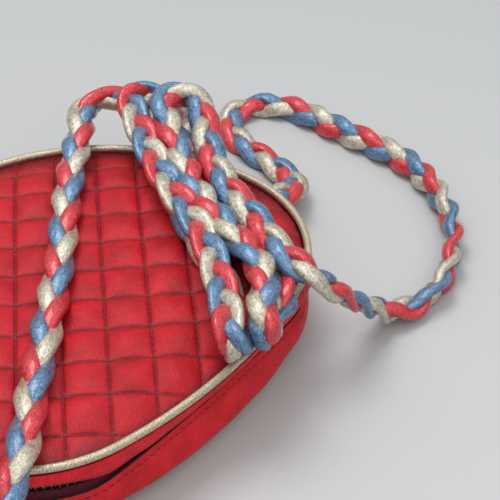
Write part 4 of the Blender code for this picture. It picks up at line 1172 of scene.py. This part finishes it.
def make_studio():
    floor = skin("studio_floor", [[(-4, -4, -0.0002), (4, -4, -0.0002)], [(-4, 4, -0.0002), (4, 4, -0.0002)]], False)
    floor.materials.append(pale_floor("studio_floor"))
    in_scene("studio_floor", floor)
    world = bpy.data.worlds.new("studio")
    world.use_nodes = True
    sky = Nodes(world.node_tree)
    height = sky.node('ShaderNodeSeparateXYZ', {0: sky.node('ShaderNodeTexCoord').outputs["Generated"]})
    shade = sky.node('ShaderNodeMapRange', {"Value": height.outputs[2], "From Min": 0.05, "From Max": 0.85,
                                            "To Min": 0.22, "To Max": 0.95})
    background = sky.tree.nodes["Background"]
    sky.feed(background.inputs["Strength"], shade.outputs["Result"])
    sky.feed(background.inputs["Color"], (0.97, 0.985, 1.0))
    bpy.context.scene.world = world
    for name, spot, size, power in (("overhead_softbox", (-0.05, -0.25, 1.15), 0.55, 7.0),
                                    ("front_softbox", (0.35, 0.75, 0.95), 0.9, 3.2)):
        lamp = bpy.data.lights.new(name, 'AREA')
        lamp.size, lamp.energy = size, power
        aimed(name, lamp, spot, (0.0, 0.0, 0.0))
    view = bpy.data.cameras.new("camera")
    view.sensor_width, view.lens = 36.0, 115.2
    bpy.context.scene.camera = aimed("camera", view, (0.3088, 0.3345, 0.4402), (-0.0917, 0.0159, 0.0))
    bpy.context.scene.view_settings.view_transform = 'Standard'


def main():
    # The front panel's last colour is a near-black red, painted into its channels and along its edge under the piping
    # as shade.
    panel_red = pebbled_red("panel_red_leather", (0.66, 0.006, 0.018), (0.36, 0.002, 0.008), 0.00007, 0.46,
                            (0.10, 0.001, 0.003))
    gusset_red = pebbled_red("gusset_red_leather", (0.90, 0.010, 0.026), (0.56, 0.003, 0.010), 0.00013, 0.42, None)
    # The inner gusset's last colour is a pale red, painted on its folded lip as a highlight.
    lip_red = pebbled_red("inner_gusset_red_leather", (0.90, 0.010, 0.026), (0.54, 0.003, 0.010), 0.00013, 0.42,
                          (0.86, 0.10, 0.13))
    thread, brass = waxed_thread("dark_red_thread"), pale_brass("pale_brass_metal")
    wine = woven_wine("wine_woven_fabric")
    front = add_piece("quilted_front", make_quilted_front(), [panel_red], ("front_panel",))
    mesh = row_of("quilting_stitches", channel_paths(), stitch_mesh(0.0023, 0.00042, 0.00020), STITCH_STEP, thread)
    add_piece("quilting_stitches", mesh, [thread])
    mesh = row_of("piping_seam_stitches", [rim_loop(lambda s: -PIPING_RADIUS - 0.0007, PANEL_EDGE_Z + 0.0004)],
                  stitch_mesh(0.0022, 0.00050, 0.00020), 0.0032, thread, closed=True)
    add_piece("piping_seam_stitches", mesh, [thread])
    make_pipings(champagne_leather("champagne_piping_leather"))
    make_gussets(gusset_red, lip_red, painted_edge("dark_edge_paint"), thread)
    make_zip(wine, brass)
    make_back(gusset_red, wine)
    for side, name in ((1.0, "left"), (-1.0, "right")):
        make_tab(side, name, gusset_red, thread, brass)
    make_strap(plaited_leather("plaited_strap_leather"))
    make_studio()


main()
